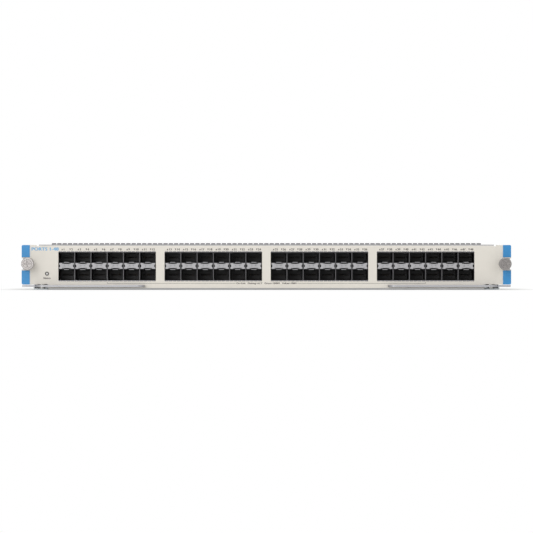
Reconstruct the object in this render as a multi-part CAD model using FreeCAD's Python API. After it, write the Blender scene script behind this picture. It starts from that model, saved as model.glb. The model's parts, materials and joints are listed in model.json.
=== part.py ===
"""Line card for a modular network chassis: 48 stacked optical ports behind a folded steel front panel.

Millimetres. X runs across the card, Y from the face towards the backplane, Z up from the underside.
The pieces are drawn with the outer face of the panel at Y = 0 and saved about the middle of the card's depth.
"""
import FreeCAD, Part
import math
import os

V = FreeCAD.Vector

# ---------------------------------------------------------------- driving dimensions: panel
CARD_WIDTH = 429.2           # over the two ears
PANEL_HEIGHT = 39.6          # underside to top flange
CARD_DEPTH = 350.0           # panel face to the rear end of the backplane connectors
PAST = 1.0                   # how far a cut runs past the faces that it opens
PANEL_SHEET = 1.2            # thickness of the panel steel
PANEL_BEND = 0.6             # inside radius of the panel's folds
FLANGE_DEPTH = 12.0          # panel face to the rear edge of its two return flanges
TOP_FOLD_INSET = 15.1        # card's end to the end of the folded top edge
LOWER_FOLD_INSET = 23.3      # card's end to the end of the folded lower edge
RELIEF_WIDTH = 1.85          # slit between the folded top edge and the ear
RELIEF_DEPTH = 1.6
CORNER_CUT_TOP = 4.85        # upper edge of the cut-out that the ejector passes through
CORNER_CUT_INSET = 13.7      # card's end to where that cut-out meets the ear
EAR_BOTTOM = 4.5
EAR_TOP = 39.15
EAR_CORNER = 1.2             # corner radius of the ears
EAR_LAP = 0.5                # how far the drawn ear reaches into the folded part
OVERLAY_WIDTH = 7.1          # coloured band at each end
OVERLAY_THICK = 0.4

# ---------------------------------------------------------------- driving dimensions: ports
PORT_PITCH = 14.25           # centre distance of neighbouring columns
GROUPS = 4                   # cages in the card
GROUP_GAP = 7.0              # least space between the windows of two groups
END_ZONE = 28.4              # room for ejector and thumbscrew beyond the outer groups
WINDOW_BOTTOM = 7.9          # underside of the card to the lower edge of the ports
WINDOW_HEIGHT = 25.2
CAGE_SHEET = 0.4             # thickness of the cage's walls
CAGE_DEPTH = 48.8
DIVIDER_THICK = 0.6          # wall between two columns
LOWER_PORT_HEIGHT = 10.3
SPACER_HEIGHT = 5.2          # middle channel between the lower and the upper port
SPACER_SIDE_GAP = 0.35       # spacer to divider, each side
LATCH_TAB_WIDTH = 4.4
LATCH_TAB_HEIGHT = 0.8       # tip of a tab above the spacer
LATCH_TAB_FRONT = 0.8        # panel face to the tip
LATCH_NOTCH_WIDTH = 7.5      # notch of the spacer round each tab
LATCH_NOTCH_DEPTH = 0.85
LATCH_NOTCH_REAR = 2.6       # panel face to the root of the tabs
LIGHT_WINDOW = 1.3           # square window for one lamp
LIGHT_OFFSET = 1.75          # window to column centre
LIGHT_HEIGHT = 0.55          # window above the spacer's lower edge, as a share of its height
LIGHT_DROP = 2.0             # rear of the cage to the leg of the light guides
LIGHT_ROOM = 0.2             # connector to light guide
CONNECTOR_WIDTH = 11.6
CONNECTOR_DEPTH = 12.6       # card slot nose to the back of the connector
CONNECTOR_TOWER = 6.0        # depth of the connector's rear tower
CONNECTOR_INSET = 1.4        # connector's noses to the floor and roof of their ports

# ---------------------------------------------------------------- driving dimensions: tray and board
TRAY_SHEET = 1.0
TRAY_BEND = 0.4              # inside radius of the tray's folds
TRAY_INSET = 10.2            # card's end to the outside of the tray's wall
TRAY_SHORT = 14.0            # tray's rear edge to the rear end of the card
TRAY_LEAD = 0.8              # panel face to the front edge of the tray beside the panel's lower flange
TRAY_PLAY = 0.5              # tray to the panel's lower flange
TRAY_WALL_FRONT = 37.4       # wall height beside the ports
TRAY_WALL_REAR = 12.0        # wall height along the board
TRAY_WALL_STEP = 44.0        # panel face to the start of the slope between the two heights
TRAY_SILL = 0.6              # low edge left in the wall under the ejector's claw, above the fold
WALL_PLAY = 0.3              # ear bracket to the front edge of the tray's wall
CLAW_ROOM = 0.6              # swinging claw to the rear edge of its slot in the wall
LIP_STEP = 1.4               # length of the step that lifts the tray's lip over the panel's flange
LIP_LAP = 0.6                # how far the drawn lip reaches into the floor
LIP_SLANT = 0.4              # rearward shift of the step's upper face
BRACKET_SHEET = 1.5
BRACKET_LEG = 28.0           # panel face to the rear end of the ear brackets
BRACKET_INSET = 1.0          # bracket to the ear's outer edge
BRACKET_MARGIN = 2.0         # bracket to the ear's upper and lower edge
BOARD_THICK = 2.0
BOARD_INSET = 15.6           # card's end to the side edge of the board
BOARD_FRONT = 2.2            # panel face to the board's front edge
BOARD_SHORT = 12.0           # board's rear edge to the rear end of the card
BOARD_CLEARANCE = 4.6        # tray floor to the underside of the board
STANDOFF_FLATS = 5.5
STANDOFF_EDGE = 9.0          # outer standoffs to the side edge of the board
STANDOFF_FRONT = 14.0        # rear of the cages to the front row of standoffs
STANDOFF_REAR = 40.0         # rear row of standoffs to the rear edge of the board
INSULATION_THICK = 0.3
INSULATION_EDGE = 12.0       # insulation sheet to the side edge of the board
INSULATION_FRONT = 4.0       # rear of the tray's step to the front edge of the sheet
INSULATION_REAR = 8.0        # sheet to the rear edge of the tray
INSULATION_CLEAR = 1.5       # sheet to the flats of a standoff

# ---------------------------------------------------------------- driving dimensions: ejectors
LEVER_THICK = 1.75
LEVER_BOTTOM = 2.35          # underside of the card to the underside of the lever
LEVER_PIVOT_INSET = 17.6     # card's end to the pivot
LEVER_PIVOT_Y = 6.0
LEVER_HUB_RADIUS = 6.8
LEVER_HUB_STEP = 1.0         # neck of the arm inside the hub's outer edge
LEVER_BORE = 3.05            # radius of the pivot hole
LEVER_REACH = 90.5           # pivot to the tip of the arm
LEVER_NECK_PLAY = 0.7        # neck to the end of the panel's lower flange
LEVER_ARM_WIDTH = 8.5
LEVER_ARM_GAP = 1.2          # panel face to the rear edge of the arm
LEVER_TIP_RADIUS = 6.0
LEVER_SHOULDER = 7.0         # radius where the neck turns into the arm
LEVER_CLAW_INSET = 0.4       # card's end to the end of the claw
CLAW_SLOT = 4.4              # opening of the claw for the chassis rail
CLAW_WALL = 1.8              # hub to the bottom of the claw's slot
CLAW_FLARE = 1.0             # widening of the slot at its mouth, on each side
CLAW_SHORT = 1.8             # rear prong shorter than the front one
CLAW_SLIM = 0.4              # claw narrower than the hub, on each side
PIVOT_PLAY = 0.05            # clearance all round the pivot
PIVOT_HEAD = 4.4             # radius of the pivot's head
PIVOT_HEAD_THICK = 0.9

# ---------------------------------------------------------------- driving dimensions: captive thumbscrews
SCREW_INSET = 5.5            # card's end to the screw's centre
SCREW_Z = 22.6
KNOB_RADIUS = 5.5
KNOB_FRONT = 12.0            # panel face to the front of the knob
KNOB_LENGTH = 7.4
SCREW_HEAD_THICK = 1.2
SCREW_HEAD_RADIUS = 3.7
HEAD_RECESS = 0.2            # front of the knob to the screw's head
SCREW_RADIUS = 2.0           # thread
SCREW_NECK = 1.5
SCREW_REACH = 10.0           # panel face to the tip of the screw
NECK_PLAY = 0.1
FERRULE_PLAY = 0.25          # ferrule inside the knob's sleeve, all round
FERRULE_POCKET = 2.85
FERRULE_FRONT = 6.0          # panel face to the front of the ferrule
WASHER_THICK = 0.4
SPRING_WIRE = 0.6
SPRING_SEAT = 0.15           # free space at each end of the drawn spring
SPRING_RADIUS = 2.2
SPRING_TURNS = 4
SPRING_STEPS = 8             # straight lengths in one turn
NOTCH_HEIGHT = 9.8           # notch of the panel round the ferrule
OVERLAY_NOTCH = 11.6         # notch of the coloured band

# ---------------------------------------------------------------- driving dimensions: gasket strip
GASKET_INSET = 26.3          # card's end to the end of the strip
FINGER_PITCH = 4.66
FINGER_GAP = 0.9
FINGER_RISE = 1.2            # top of the fingers above the top flange
GASKET_SHEET = 0.25
GASKET_FRONT = 2.4           # panel face to the front edge of the strip
GASKET_HEM = 1.5             # flat front hem
GASKET_DEPTH = 9.0

# ---------------------------------------------------------------- driving dimensions: status lamp
LAMP_INSET = 22.2            # card's left end to the lamp
LAMP_Y = 9.0
LAMP_Z = 14.0
LAMP_HOLE = 1.65             # radius of the hole in the panel
LAMP_PLAY = 0.1
LAMP_PROUD = 0.3             # light pipe in front of the panel
LAMP_CHIP = 1.6
LAMP_CHIP_THICK = 0.8

# ---------------------------------------------------------------- driving dimensions: parts on the board
CHIP_SIZE = 42.5
CHIP_THICK = 2.6
CHIP_INSET = 129.0           # side edge of the board to the middle of each switch chip
CHIP_Y = 165.0
SINK_SIZE = 64.0
SINK_BASE = 3.0
SINK_HEIGHT = 19.0
SINK_FINS = 14
FIN_THICK = 1.3
MEMORY_WIDTH = 9.0
MEMORY_LENGTH = 13.5
MEMORY_THICK = 1.2
MEMORY_X = 10.0              # middle of the card to each row of memory packages
MEMORY_GAP = 4.0
MEMORY_ROW = 4               # packages in one row
PHY_SIZE = 17.0
PHY_THICK = 1.7
PHY_Y = 92.0
POWER_INSET = 41.0           # side edge of the board to the middle of the power converters
BRICK_Y = 192.0              # panel face to the middle of the first converter
BRICK_WIDTH = 58.0
BRICK_LENGTH = 37.0
BRICK_HEIGHT = 11.5
BRICK_GAP = 6.0
INDUCTOR_SIZE = 12.5
INDUCTOR_HEIGHT = 7.0
INDUCTOR_GAP = 3.0
INDUCTOR_LEAD = 16.0         # heat sink to the middle of the inductors
CAPACITOR_LENGTH = 7.5
CAPACITOR_WIDTH = 6.0
CAPACITOR_HEIGHT = 4.2
CAPACITOR_Y = 182.0          # panel face to the middle of the first capacitor
CAPACITOR_GAP = 4.0
CAPACITORS = 6

# ---------------------------------------------------------------- driving dimensions: rear edge
REAR_CONNECTOR_PITCH = 70.0
REAR_CONNECTOR_WIDTH = 54.0
REAR_CONNECTOR_HEIGHT = 17.0
REAR_CONNECTOR_DEPTH = 22.0
REAR_CONNECTOR_GAP = 9.5     # left guide socket to the first connector
WAFER_PITCH = 6.0
WAFER_SLOT = 2.2
WAFER_SLOT_DEPTH = 5.0
WAFER_FLOOR = 2.0            # solid foot of the connector under its slots
GUIDE_INSET = 15.0           # side edge of the board to the guide sockets
GUIDE_BLOCK = 15.0
GUIDE_BORE = 4.0             # radius of the socket
GUIDE_BORE_DEPTH = 20.0
GUIDE_DEPTH = 26.0
POWER_CONNECTOR_INSET = 41.0  # right guide socket to the middle of the power connector
POWER_CONNECTOR_WIDTH = 42.0
POWER_CONNECTOR_HEIGHT = 13.0
POWER_BLADES = 6
BLADE_SLOT = 1.6
BLADE_DEPTH = 9.0
BLADE_FLOOR = 3.0            # power connector's foot under its slots
BLADE_ROOF = 2.5             # and its roof above them
STIFFENER_WIDTH = 8.0
STIFFENER_HEIGHT = 7.0
STIFFENER_EDGE = 6.0         # bar to the side edge of the board
STIFFENER_GAP = 3.0          # bar to the guide sockets

# ---------------------------------------------------------------- places that follow from the sizes above
HALF = CARD_WIDTH / 2
TOP_FOLD_HALF = HALF - TOP_FOLD_INSET
LOWER_FOLD_HALF = HALF - LOWER_FOLD_INSET
CORNER_CUT_HALF = HALF - CORNER_CUT_INSET
TRAY_HALF = HALF - TRAY_INSET
BOARD_HALF = HALF - BOARD_INSET
GASKET_HALF = HALF - GASKET_INSET
LEVER_PIVOT_X = HALF - LEVER_PIVOT_INSET
LEVER_CLAW_HALF = HALF - LEVER_CLAW_INSET
SCREW_X = HALF - SCREW_INSET
LAMP_X = LAMP_INSET - HALF
TRAY_DEPTH = CARD_DEPTH - TRAY_SHORT
BOARD_REAR = CARD_DEPTH - BOARD_SHORT
GROUP_PITCH = 2 * (HALF - END_ZONE) / GROUPS
COLUMNS = int((GROUP_PITCH - GROUP_GAP) // PORT_PITCH)
PANEL_OUTER_BEND = PANEL_BEND + PANEL_SHEET
BOARD_BOTTOM = TRAY_SHEET + BOARD_CLEARANCE
BOARD_TOP = BOARD_BOTTOM + BOARD_THICK
WINDOW_HALF = COLUMNS * PORT_PITCH / 2
WINDOW_TOP = WINDOW_BOTTOM + WINDOW_HEIGHT
SPACER_BOTTOM = WINDOW_BOTTOM + LOWER_PORT_HEIGHT
SPACER_TOP = SPACER_BOTTOM + SPACER_HEIGHT
CAGE_FRONT = PANEL_SHEET
CAGE_REAR = CAGE_FRONT + CAGE_DEPTH
LEVER_TOP = LEVER_BOTTOM + LEVER_THICK
FERRULE_RADIUS = SCREW_HEAD_RADIUS - FERRULE_PLAY
CHIP_X = BOARD_HALF - CHIP_INSET
POWER_X = BOARD_HALF - POWER_INSET
GUIDE_X = BOARD_HALF - GUIDE_INSET
POWER_CONNECTOR_X = GUIDE_X - POWER_CONNECTOR_INSET
REAR_FIRST_X = -GUIDE_X + GUIDE_BLOCK / 2 + REAR_CONNECTOR_GAP + REAR_CONNECTOR_WIDTH / 2
REAR_ROOM = POWER_CONNECTOR_X - POWER_CONNECTOR_WIDTH / 2 - REAR_FIRST_X - REAR_CONNECTOR_WIDTH / 2
REAR_CONNECTORS = 1 + int(REAR_ROOM // REAR_CONNECTOR_PITCH)
ORIGIN_Y = (CARD_DEPTH - KNOB_FRONT) / 2


def group_centres():
    """X of the middle of each port group."""
    return [(i - (GROUPS - 1) / 2) * GROUP_PITCH for i in range(GROUPS)]


def column_centres(group_x):
    """X of the middle of each column of one group."""
    return [group_x + (i - (COLUMNS - 1) / 2) * PORT_PITCH for i in range(COLUMNS)]


# ---------------------------------------------------------------- shape helpers
def block(x0, x1, y0, y1, z0, z1):
    """A box between two corners."""
    return Part.makeBox(x1 - x0, y1 - y0, z1 - z0, V(x0, y0, z0))


def rod(radius, start, end):
    """A cylinder from one point to another."""
    along = V(*end) - V(*start)
    return Part.makeCylinder(radius, along.Length, V(*start), along)


def outline(points):
    """A closed wire in the XY plane through (x, y) or (x, y, corner radius) points."""
    corners = [(V(p[0], p[1], 0), p[2] if len(p) > 2 else 0) for p in points]
    edges = []
    last = None
    first = None
    for i, (corner, radius) in enumerate(corners):
        before = corners[i - 1][0]
        after = corners[(i + 1) % len(corners)][0]
        start, end = corner, corner
        if radius > 0:
            u, w = (before - corner).normalize(), (after - corner).normalize()
            half_angle = u.getAngle(w) / 2
            run = radius / math.tan(half_angle)
            start, end = corner + u * run, corner + w * run
            middle_way = (u + w).normalize()
            middle = corner + middle_way * (radius / math.sin(half_angle) - radius)
        if last is not None and (start - last).Length > 1e-6:
            edges.append(Part.LineSegment(last, start).toShape())
        if radius > 0:
            edges.append(Part.Arc(start, middle, end).toShape())
        first = first or start
        last = end
    if (first - last).Length > 1e-6:
        edges.append(Part.LineSegment(last, first).toShape())
    return Part.Wire(edges)


def flat(points, z0, z1):
    """An outline in XY given a thickness in Z."""
    shape = Part.Face(outline(points)).extrude(V(0, 0, z1 - z0))
    shape.translate(V(0, 0, z0))
    return shape


def upright(points, y0, y1):
    """An outline in (x, z) given a thickness in Y."""
    shape = flat(points, -y1, -y0)
    shape.rotate(V(0, 0, 0), V(1, 0, 0), 90)
    return shape


def section(points, x0, x1):
    """An outline in (y, z) carried along X."""
    shape = flat(points, x0, x1)
    shape.rotate(V(0, 0, 0), V(1, 1, 1), 120)
    return shape


def turned(profile, x, z):
    """A profile of (radius, y) points turned about the Y line through (x, z)."""
    wire = Part.makePolygon([V(r, y, 0) for r, y in profile + profile[:1]])
    shape = Part.Face(wire).revolve(V(0, 0, 0), V(0, 1, 0), 360)
    shape.translate(V(x, 0, z))
    return shape


def turned_up(profile, x, y):
    """A profile of (radius, z) points turned about the vertical line through (x, y)."""
    wire = Part.makePolygon([V(r, 0, z) for r, z in profile + profile[:1]])
    shape = Part.Face(wire).revolve(V(0, 0, 0), V(0, 0, 1), 360)
    shape.translate(V(x, y, 0))
    return shape


def mirrored(shape):
    """The same piece on the other side of the card."""
    return shape.mirror(V(0, 0, 0), V(1, 0, 0))


def on_both_sides(shape):
    """A right-hand piece and its mirror image."""
    return [mirrored(shape), shape]


def save(name, solids):
    """Write one node, moved so that the card's depth is centred on the origin."""
    shape = Part.makeCompound(solids) if isinstance(solids, list) else solids
    shape = shape.copy()
    shape.translate(V(0, -ORIGIN_Y, 0))
    shape.exportStep("parts/" + name + ".step")


# ---------------------------------------------------------------- front panel and what sits on it
def screw_notch(height, y0, y1):
    """Tool for the open-sided notch round the right-hand thumbscrew."""
    radius = height / 2
    return Part.makeCylinder(radius, y1 - y0, V(SCREW_X, y0, SCREW_Z), V(0, 1, 0)).fuse(
        block(SCREW_X, HALF + PAST, y0, y1, SCREW_Z - radius, SCREW_Z + radius))


def panel_section():
    """Face with a return flange at its top and its bottom, seen from the side."""
    outer, inner = PANEL_OUTER_BEND, PANEL_BEND
    t, h, d = PANEL_SHEET, PANEL_HEIGHT, FLANGE_DEPTH
    return [(d, 0), (0, 0, outer), (0, h, outer), (d, h),
            (d, h - t), (t, h - t, inner), (t, t, inner), (d, t)]


def ear():
    """Right-hand ear, beyond the folded edges."""
    inner = TOP_FOLD_HALF - EAR_LAP
    relief = TOP_FOLD_HALF + RELIEF_WIDTH
    points = [(inner, CORNER_CUT_TOP), (CORNER_CUT_HALF, CORNER_CUT_TOP), (CORNER_CUT_HALF, EAR_BOTTOM),
              (HALF, EAR_BOTTOM, EAR_CORNER), (HALF, EAR_TOP, EAR_CORNER), (relief, EAR_TOP),
              (relief, PANEL_HEIGHT - RELIEF_DEPTH), (inner, PANEL_HEIGHT - RELIEF_DEPTH)]
    return upright(points, 0, PANEL_SHEET).cut(screw_notch(NOTCH_HEIGHT, -PAST, PANEL_SHEET + PAST))


def front_panel():
    """One folded steel sheet with four port windows, ears and ejector cut-outs."""
    shape = section(panel_section(), -TOP_FOLD_HALF, TOP_FOLD_HALF)
    shape = shape.fuse(on_both_sides(ear()))
    front, back = -PAST, PANEL_SHEET + PAST
    cuts = on_both_sides(block(LOWER_FOLD_HALF, CORNER_CUT_HALF, front, FLANGE_DEPTH + PAST,
                               -PAST, CORNER_CUT_TOP))
    for x in group_centres():
        cuts.append(block(x - WINDOW_HALF, x + WINDOW_HALF, front, back, WINDOW_BOTTOM, WINDOW_TOP))
    cuts.append(rod(LAMP_HOLE, (LAMP_X, front, LAMP_Z), (LAMP_X, back, LAMP_Z)))
    return shape.cut(cuts).removeSplitter()


def end_overlay():
    """Right-hand coloured band, in two pieces above and below the thumbscrew's notch."""
    inner = HALF - OVERLAY_WIDTH
    band = upright([(inner, EAR_BOTTOM), (HALF, EAR_BOTTOM, EAR_CORNER), (HALF, EAR_TOP, EAR_CORNER),
                    (inner, EAR_TOP)], -OVERLAY_THICK, 0)
    middle = block(inner - PAST, HALF + PAST, -OVERLAY_THICK - PAST, PAST,
                   SCREW_Z - OVERLAY_NOTCH / 2, SCREW_Z + OVERLAY_NOTCH / 2)
    return band.cut(middle).Solids


def gasket_strip():
    """Spring strip on the top flange: a flat front hem, and fingers that slope up to their free ends."""
    t, z = GASKET_SHEET, PANEL_HEIGHT
    hem, rear, top = GASKET_FRONT + GASKET_HEM, GASKET_FRONT + GASKET_DEPTH, z + FINGER_RISE
    points = [(GASKET_FRONT, z), (hem, z), (rear, top - t), (rear, top), (hem, z + t), (GASKET_FRONT, z + t)]
    strip = section(points, -GASKET_HALF, GASKET_HALF)
    count = round((2 * GASKET_HALF + FINGER_GAP) / FINGER_PITCH)
    pitch = (2 * GASKET_HALF + FINGER_GAP) / count
    slots = []
    for i in range(1, count):
        x = -GASKET_HALF + i * pitch - FINGER_GAP
        slots.append(block(x, x + FINGER_GAP, hem, rear + PAST, z - PAST, top + PAST))
    return strip.cut(slots)


# ---------------------------------------------------------------- port cages
def port_cage(x):
    """Cover folded over top and sides, base, two rear strips and the walls between columns."""
    t, half = CAGE_SHEET, WINDOW_HALF
    y0, y1 = CAGE_FRONT, CAGE_REAR
    cover = upright([(x - half - t, BOARD_TOP), (x - half, BOARD_TOP), (x - half, WINDOW_TOP),
                     (x + half, WINDOW_TOP), (x + half, BOARD_TOP), (x + half + t, BOARD_TOP),
                     (x + half + t, WINDOW_TOP + t), (x - half - t, WINDOW_TOP + t)], y0, y1)
    base_top = WINDOW_BOTTOM
    solids = [cover, block(x - half, x + half, y0, y1, BOARD_TOP, base_top)]
    rear = y1 - t
    solids.append(block(x - half, x + half, rear, y1, base_top, SPACER_BOTTOM + t))
    solids.append(block(x - half, x + half, rear, y1, SPACER_TOP - t, WINDOW_TOP))
    for i in range(1, COLUMNS):
        wall = x - half + i * PORT_PITCH
        solids.append(block(wall - DIVIDER_THICK / 2, wall + DIVIDER_THICK / 2,
                            y0 - PANEL_SHEET / 2, rear, base_top, WINDOW_TOP))
    return solids


def spacer(x):
    """Channel between two ports: notched face with two lamp windows, two sheets with a latch tab each."""
    t, tip, root = CAGE_SHEET, LATCH_TAB_FRONT, LATCH_NOTCH_REAR
    half = PORT_PITCH / 2 - DIVIDER_THICK / 2 - SPACER_SIDE_GAP
    rear = CAGE_REAR - CONNECTOR_DEPTH - CAGE_SHEET
    tab, notch, deep = LATCH_TAB_WIDTH / 2, LATCH_NOTCH_WIDTH / 2, LATCH_NOTCH_DEPTH
    z0, z1 = SPACER_BOTTOM, SPACER_TOP
    right = [(notch, z0 + deep), (notch, z0), (half, z0), (half, z1), (notch, z1), (notch, z1 - deep)]
    left = [(-px, z) for px, z in reversed(right)]
    face = upright([(x + px, z) for px, z in right + left], 0, t)
    right = [(notch, root), (notch, t), (half, t), (half, rear)]
    left = [(-px, y) for px, y in reversed(right)]
    plan = [(x + px, y) for px, y in right + left]
    sheets = []
    for z, s in ((z0, -1), (z1, 1)):
        inner, reach = z - s * t, z + s * LATCH_TAB_HEIGHT
        sheets.append(flat(plan, min(z, inner), max(z, inner)))
        slope = [(root, inner), (root, z), (tip, reach), (tip, reach - s * t)]
        sheets.append(section(slope, x - tab, x + tab))
    height, size = light_guide_height(), LIGHT_WINDOW / 2
    windows = [block(x + offset - size, x + offset + size, -PAST, t + PAST, height - size, height + size)
               for offset in (-LIGHT_OFFSET, LIGHT_OFFSET)]
    return face.fuse(sheets).cut(windows).removeSplitter()


def light_guide_height():
    """Height of the light guides in the spacers."""
    return SPACER_BOTTOM + SPACER_HEIGHT * LIGHT_HEIGHT


def light_guide(x):
    """Clear moulding from both windows of a spacer, back through the cage and down to lamps on the board."""
    z, size = light_guide_height(), LIGHT_WINDOW / 2
    half = LIGHT_OFFSET + size
    bend = CAGE_REAR + LIGHT_DROP
    points = [(CAGE_SHEET, z - size), (bend - size, z - size), (bend - size, BOARD_TOP),
              (bend + size, BOARD_TOP), (bend + size, z + size), (CAGE_SHEET, z + size)]
    return section(points, x - half, x + half)


def connector(x):
    """Stacked port connector: a rear tower with one card slot for each port."""
    half = CONNECTOR_WIDTH / 2
    rear = CAGE_REAR - CAGE_SHEET
    front, tower = rear - CONNECTOR_DEPTH, rear - CONNECTOR_TOWER
    base, inset = WINDOW_BOTTOM, CONNECTOR_INSET
    points = [(tower, base), (rear, base), (rear, WINDOW_TOP - inset), (front, WINDOW_TOP - inset),
              (front, SPACER_TOP + inset), (tower, SPACER_TOP + inset), (tower, SPACER_BOTTOM - inset),
              (front, SPACER_BOTTOM - inset), (front, base + inset), (tower, base + inset)]
    shape = section(points, x - half, x + half)
    z, room = light_guide_height(), LIGHT_WINDOW / 2 + LIGHT_ROOM
    way = LIGHT_OFFSET + room
    return shape.cut(block(x - way, x + way, tower - PAST, rear + PAST, z - room, z + room))


# ---------------------------------------------------------------- tray
def standoff_places():
    """(x, y) of the board's standoffs."""
    pitch = 2 * (BOARD_HALF - STANDOFF_EDGE) / (GROUPS - 1)
    across = [(i - (GROUPS - 1) / 2) * pitch for i in range(GROUPS)]
    along = [CAGE_REAR + STANDOFF_FRONT, BOARD_REAR - STANDOFF_REAR]
    return [(x, y) for y in along for x in across]


def carrier_tray():
    """Folded steel tray: floor, side walls, ejector slots and a raised lip on the panel's flange."""
    t, half, wall = TRAY_SHEET, TRAY_HALF, TRAY_WALL_FRONT
    outer, inner = TRAY_BEND + TRAY_SHEET, TRAY_BEND
    profile = [(-half, wall), (-half, 0, outer), (half, 0, outer), (half, wall), (half - t, wall),
               (half - t, t, inner), (-half + t, t, inner), (-half + t, wall)]
    shape = upright(profile, TRAY_LEAD, TRAY_DEPTH)
    lip_half, gap_half = LOWER_FOLD_HALF - TRAY_PLAY, LOWER_FOLD_HALF + TRAY_PLAY
    lip_end = FLANGE_DEPTH + TRAY_PLAY
    floor_start = lip_end + LIP_STEP
    floor_end, sill, top, rear = floor_start + LIP_LAP, outer + TRAY_SILL, wall + PAST, TRAY_DEPTH + PAST
    cuts = [block(-gap_half, gap_half, 0, floor_start, -PAST, t + PAST)]
    slot_end = LEVER_PIVOT_Y + claw_radius() + CLAW_ROOM
    wall_front = PANEL_SHEET + BRACKET_SHEET + WALL_PLAY
    slope = TRAY_WALL_STEP + (TRAY_WALL_FRONT - TRAY_WALL_REAR)
    for s in (-1, 1):
        x0, x1 = sorted((s * (half - t - PAST), s * (half + PAST)))
        cuts.append(block(x0, x1, 0, wall_front, sill, top))
        cuts.append(block(x0, x1, 0, slot_end, sill, CORNER_CUT_TOP))
        cuts.append(section([(TRAY_WALL_STEP, top), (TRAY_WALL_STEP, wall), (slope, TRAY_WALL_REAR),
                             (rear, TRAY_WALL_REAR), (rear, top)], x0, x1))
    shape = shape.cut(cuts)
    lift = PANEL_SHEET
    lip_front = PANEL_OUTER_BEND + TRAY_PLAY
    lip = section([(lip_front, lift), (lip_end, lift), (floor_start, 0), (floor_end, 0), (floor_end, t),
                   (floor_start + LIP_SLANT, t), (lip_end + LIP_SLANT, lift + t), (lip_front, lift + t)],
                  -lip_half, lip_half)
    return shape.fuse(lip).removeSplitter()


def ear_bracket():
    """Right-hand angle bracket: a plate behind the ear, its leg welded to the inside of the tray's wall."""
    leg_outer = TRAY_HALF - TRAY_SHEET
    leg_inner = leg_outer - BRACKET_SHEET
    y0, y1 = PANEL_SHEET, PANEL_SHEET + BRACKET_SHEET
    end = HALF - BRACKET_INSET
    plan = [(leg_inner, BRACKET_LEG), (leg_outer, BRACKET_LEG), (leg_outer, y1), (end, y1), (end, y0),
            (leg_inner, y0, BRACKET_SHEET)]
    shape = flat(plan, EAR_BOTTOM + BRACKET_MARGIN, EAR_TOP - BRACKET_MARGIN)
    hole = rod(SCREW_NECK + NECK_PLAY, (SCREW_X, y0 - PAST, SCREW_Z), (SCREW_X, y1 + PAST, SCREW_Z))
    return shape.cut(hole)


# ---------------------------------------------------------------- ejector levers
def claw_radius():
    """Distance from the pivot to the farthest corner of the claw."""
    return math.hypot(LEVER_CLAW_HALF - LEVER_PIVOT_X, LEVER_HUB_RADIUS - CLAW_SLIM)


def ejector_lever():
    """Right-hand lever: hub, claw outwards, and an arm that runs inwards in front of the panel."""
    claw = LEVER_CLAW_HALF - LEVER_PIVOT_X
    back = LEVER_PIVOT_Y + LEVER_ARM_GAP
    front = back + LEVER_ARM_WIDTH
    neck = LEVER_PIVOT_X - LOWER_FOLD_HALF - LEVER_NECK_PLAY
    hub, neck_outer = LEVER_HUB_RADIUS, LEVER_HUB_RADIUS - LEVER_HUB_STEP
    arm = [(-neck, 0), (-neck, -back), (-LEVER_REACH, -back), (-LEVER_REACH, -front, LEVER_TIP_RADIUS),
           (neck_outer, -front, LEVER_SHOULDER), (neck_outer, 0)]
    root, slot, prong, short = hub + CLAW_WALL, CLAW_SLOT / 2, hub - CLAW_SLIM, claw - CLAW_SHORT
    jaw = [(0, -prong), (claw, -prong), (claw, -slot - CLAW_FLARE), (root, -slot), (root, slot),
           (short, slot + CLAW_FLARE), (short, prong - CLAW_FLARE), (short - CLAW_FLARE, prong), (0, prong)]
    shape = flat(arm, LEVER_BOTTOM, LEVER_TOP)
    hub_disc = rod(hub, (0, 0, LEVER_BOTTOM), (0, 0, LEVER_TOP))
    shape = shape.fuse([flat(jaw, LEVER_BOTTOM, LEVER_TOP), hub_disc])
    shape = shape.cut(rod(LEVER_BORE, (0, 0, 0), (0, 0, LEVER_TOP + PAST))).removeSplitter()
    shape.translate(V(LEVER_PIVOT_X, LEVER_PIVOT_Y, 0))
    return shape


def lever_pivot():
    """Right-hand headed post welded to the tray's floor."""
    shank, head = LEVER_BORE - PIVOT_PLAY, LEVER_TOP + PIVOT_PLAY
    return turned_up([(0, TRAY_SHEET), (shank, TRAY_SHEET), (shank, head), (PIVOT_HEAD, head),
                      (PIVOT_HEAD, head + PIVOT_HEAD_THICK), (0, head + PIVOT_HEAD_THICK)],
                     LEVER_PIVOT_X, LEVER_PIVOT_Y)


# ---------------------------------------------------------------- captive thumbscrews
def screw_ferrule():
    """Right-hand ferrule: a barrel staked on the front of the bracket, round the spring."""
    front, rear = -FERRULE_FRONT, PANEL_SHEET
    return turned([(FERRULE_POCKET, rear), (FERRULE_RADIUS, rear), (FERRULE_RADIUS, front),
                   (FERRULE_POCKET, front)], SCREW_X, SCREW_Z)


def head_rear():
    """Y of the rear face of the screw's head."""
    return -KNOB_FRONT + HEAD_RECESS + SCREW_HEAD_THICK


def thumb_knob():
    """Right-hand knob: a sleeve over the ferrule, closed at its front by the screw's head."""
    front, rear = -KNOB_FRONT, -KNOB_FRONT + KNOB_LENGTH
    return turned([(SCREW_HEAD_RADIUS, front), (KNOB_RADIUS, front), (KNOB_RADIUS, rear),
                   (SCREW_HEAD_RADIUS, rear)], SCREW_X, SCREW_Z)


def captive_screw():
    """Right-hand screw: head pressed into the knob, a thin neck through the bracket, then the thread."""
    front, rear = -KNOB_FRONT + HEAD_RECESS, head_rear()
    thread = PANEL_SHEET + BRACKET_SHEET + PIVOT_PLAY
    return turned([(0, front), (SCREW_HEAD_RADIUS, front), (SCREW_HEAD_RADIUS, rear), (SCREW_NECK, rear),
                   (SCREW_NECK, thread), (SCREW_RADIUS, thread), (SCREW_RADIUS, SCREW_REACH),
                   (0, SCREW_REACH)], SCREW_X, SCREW_Z)


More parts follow.
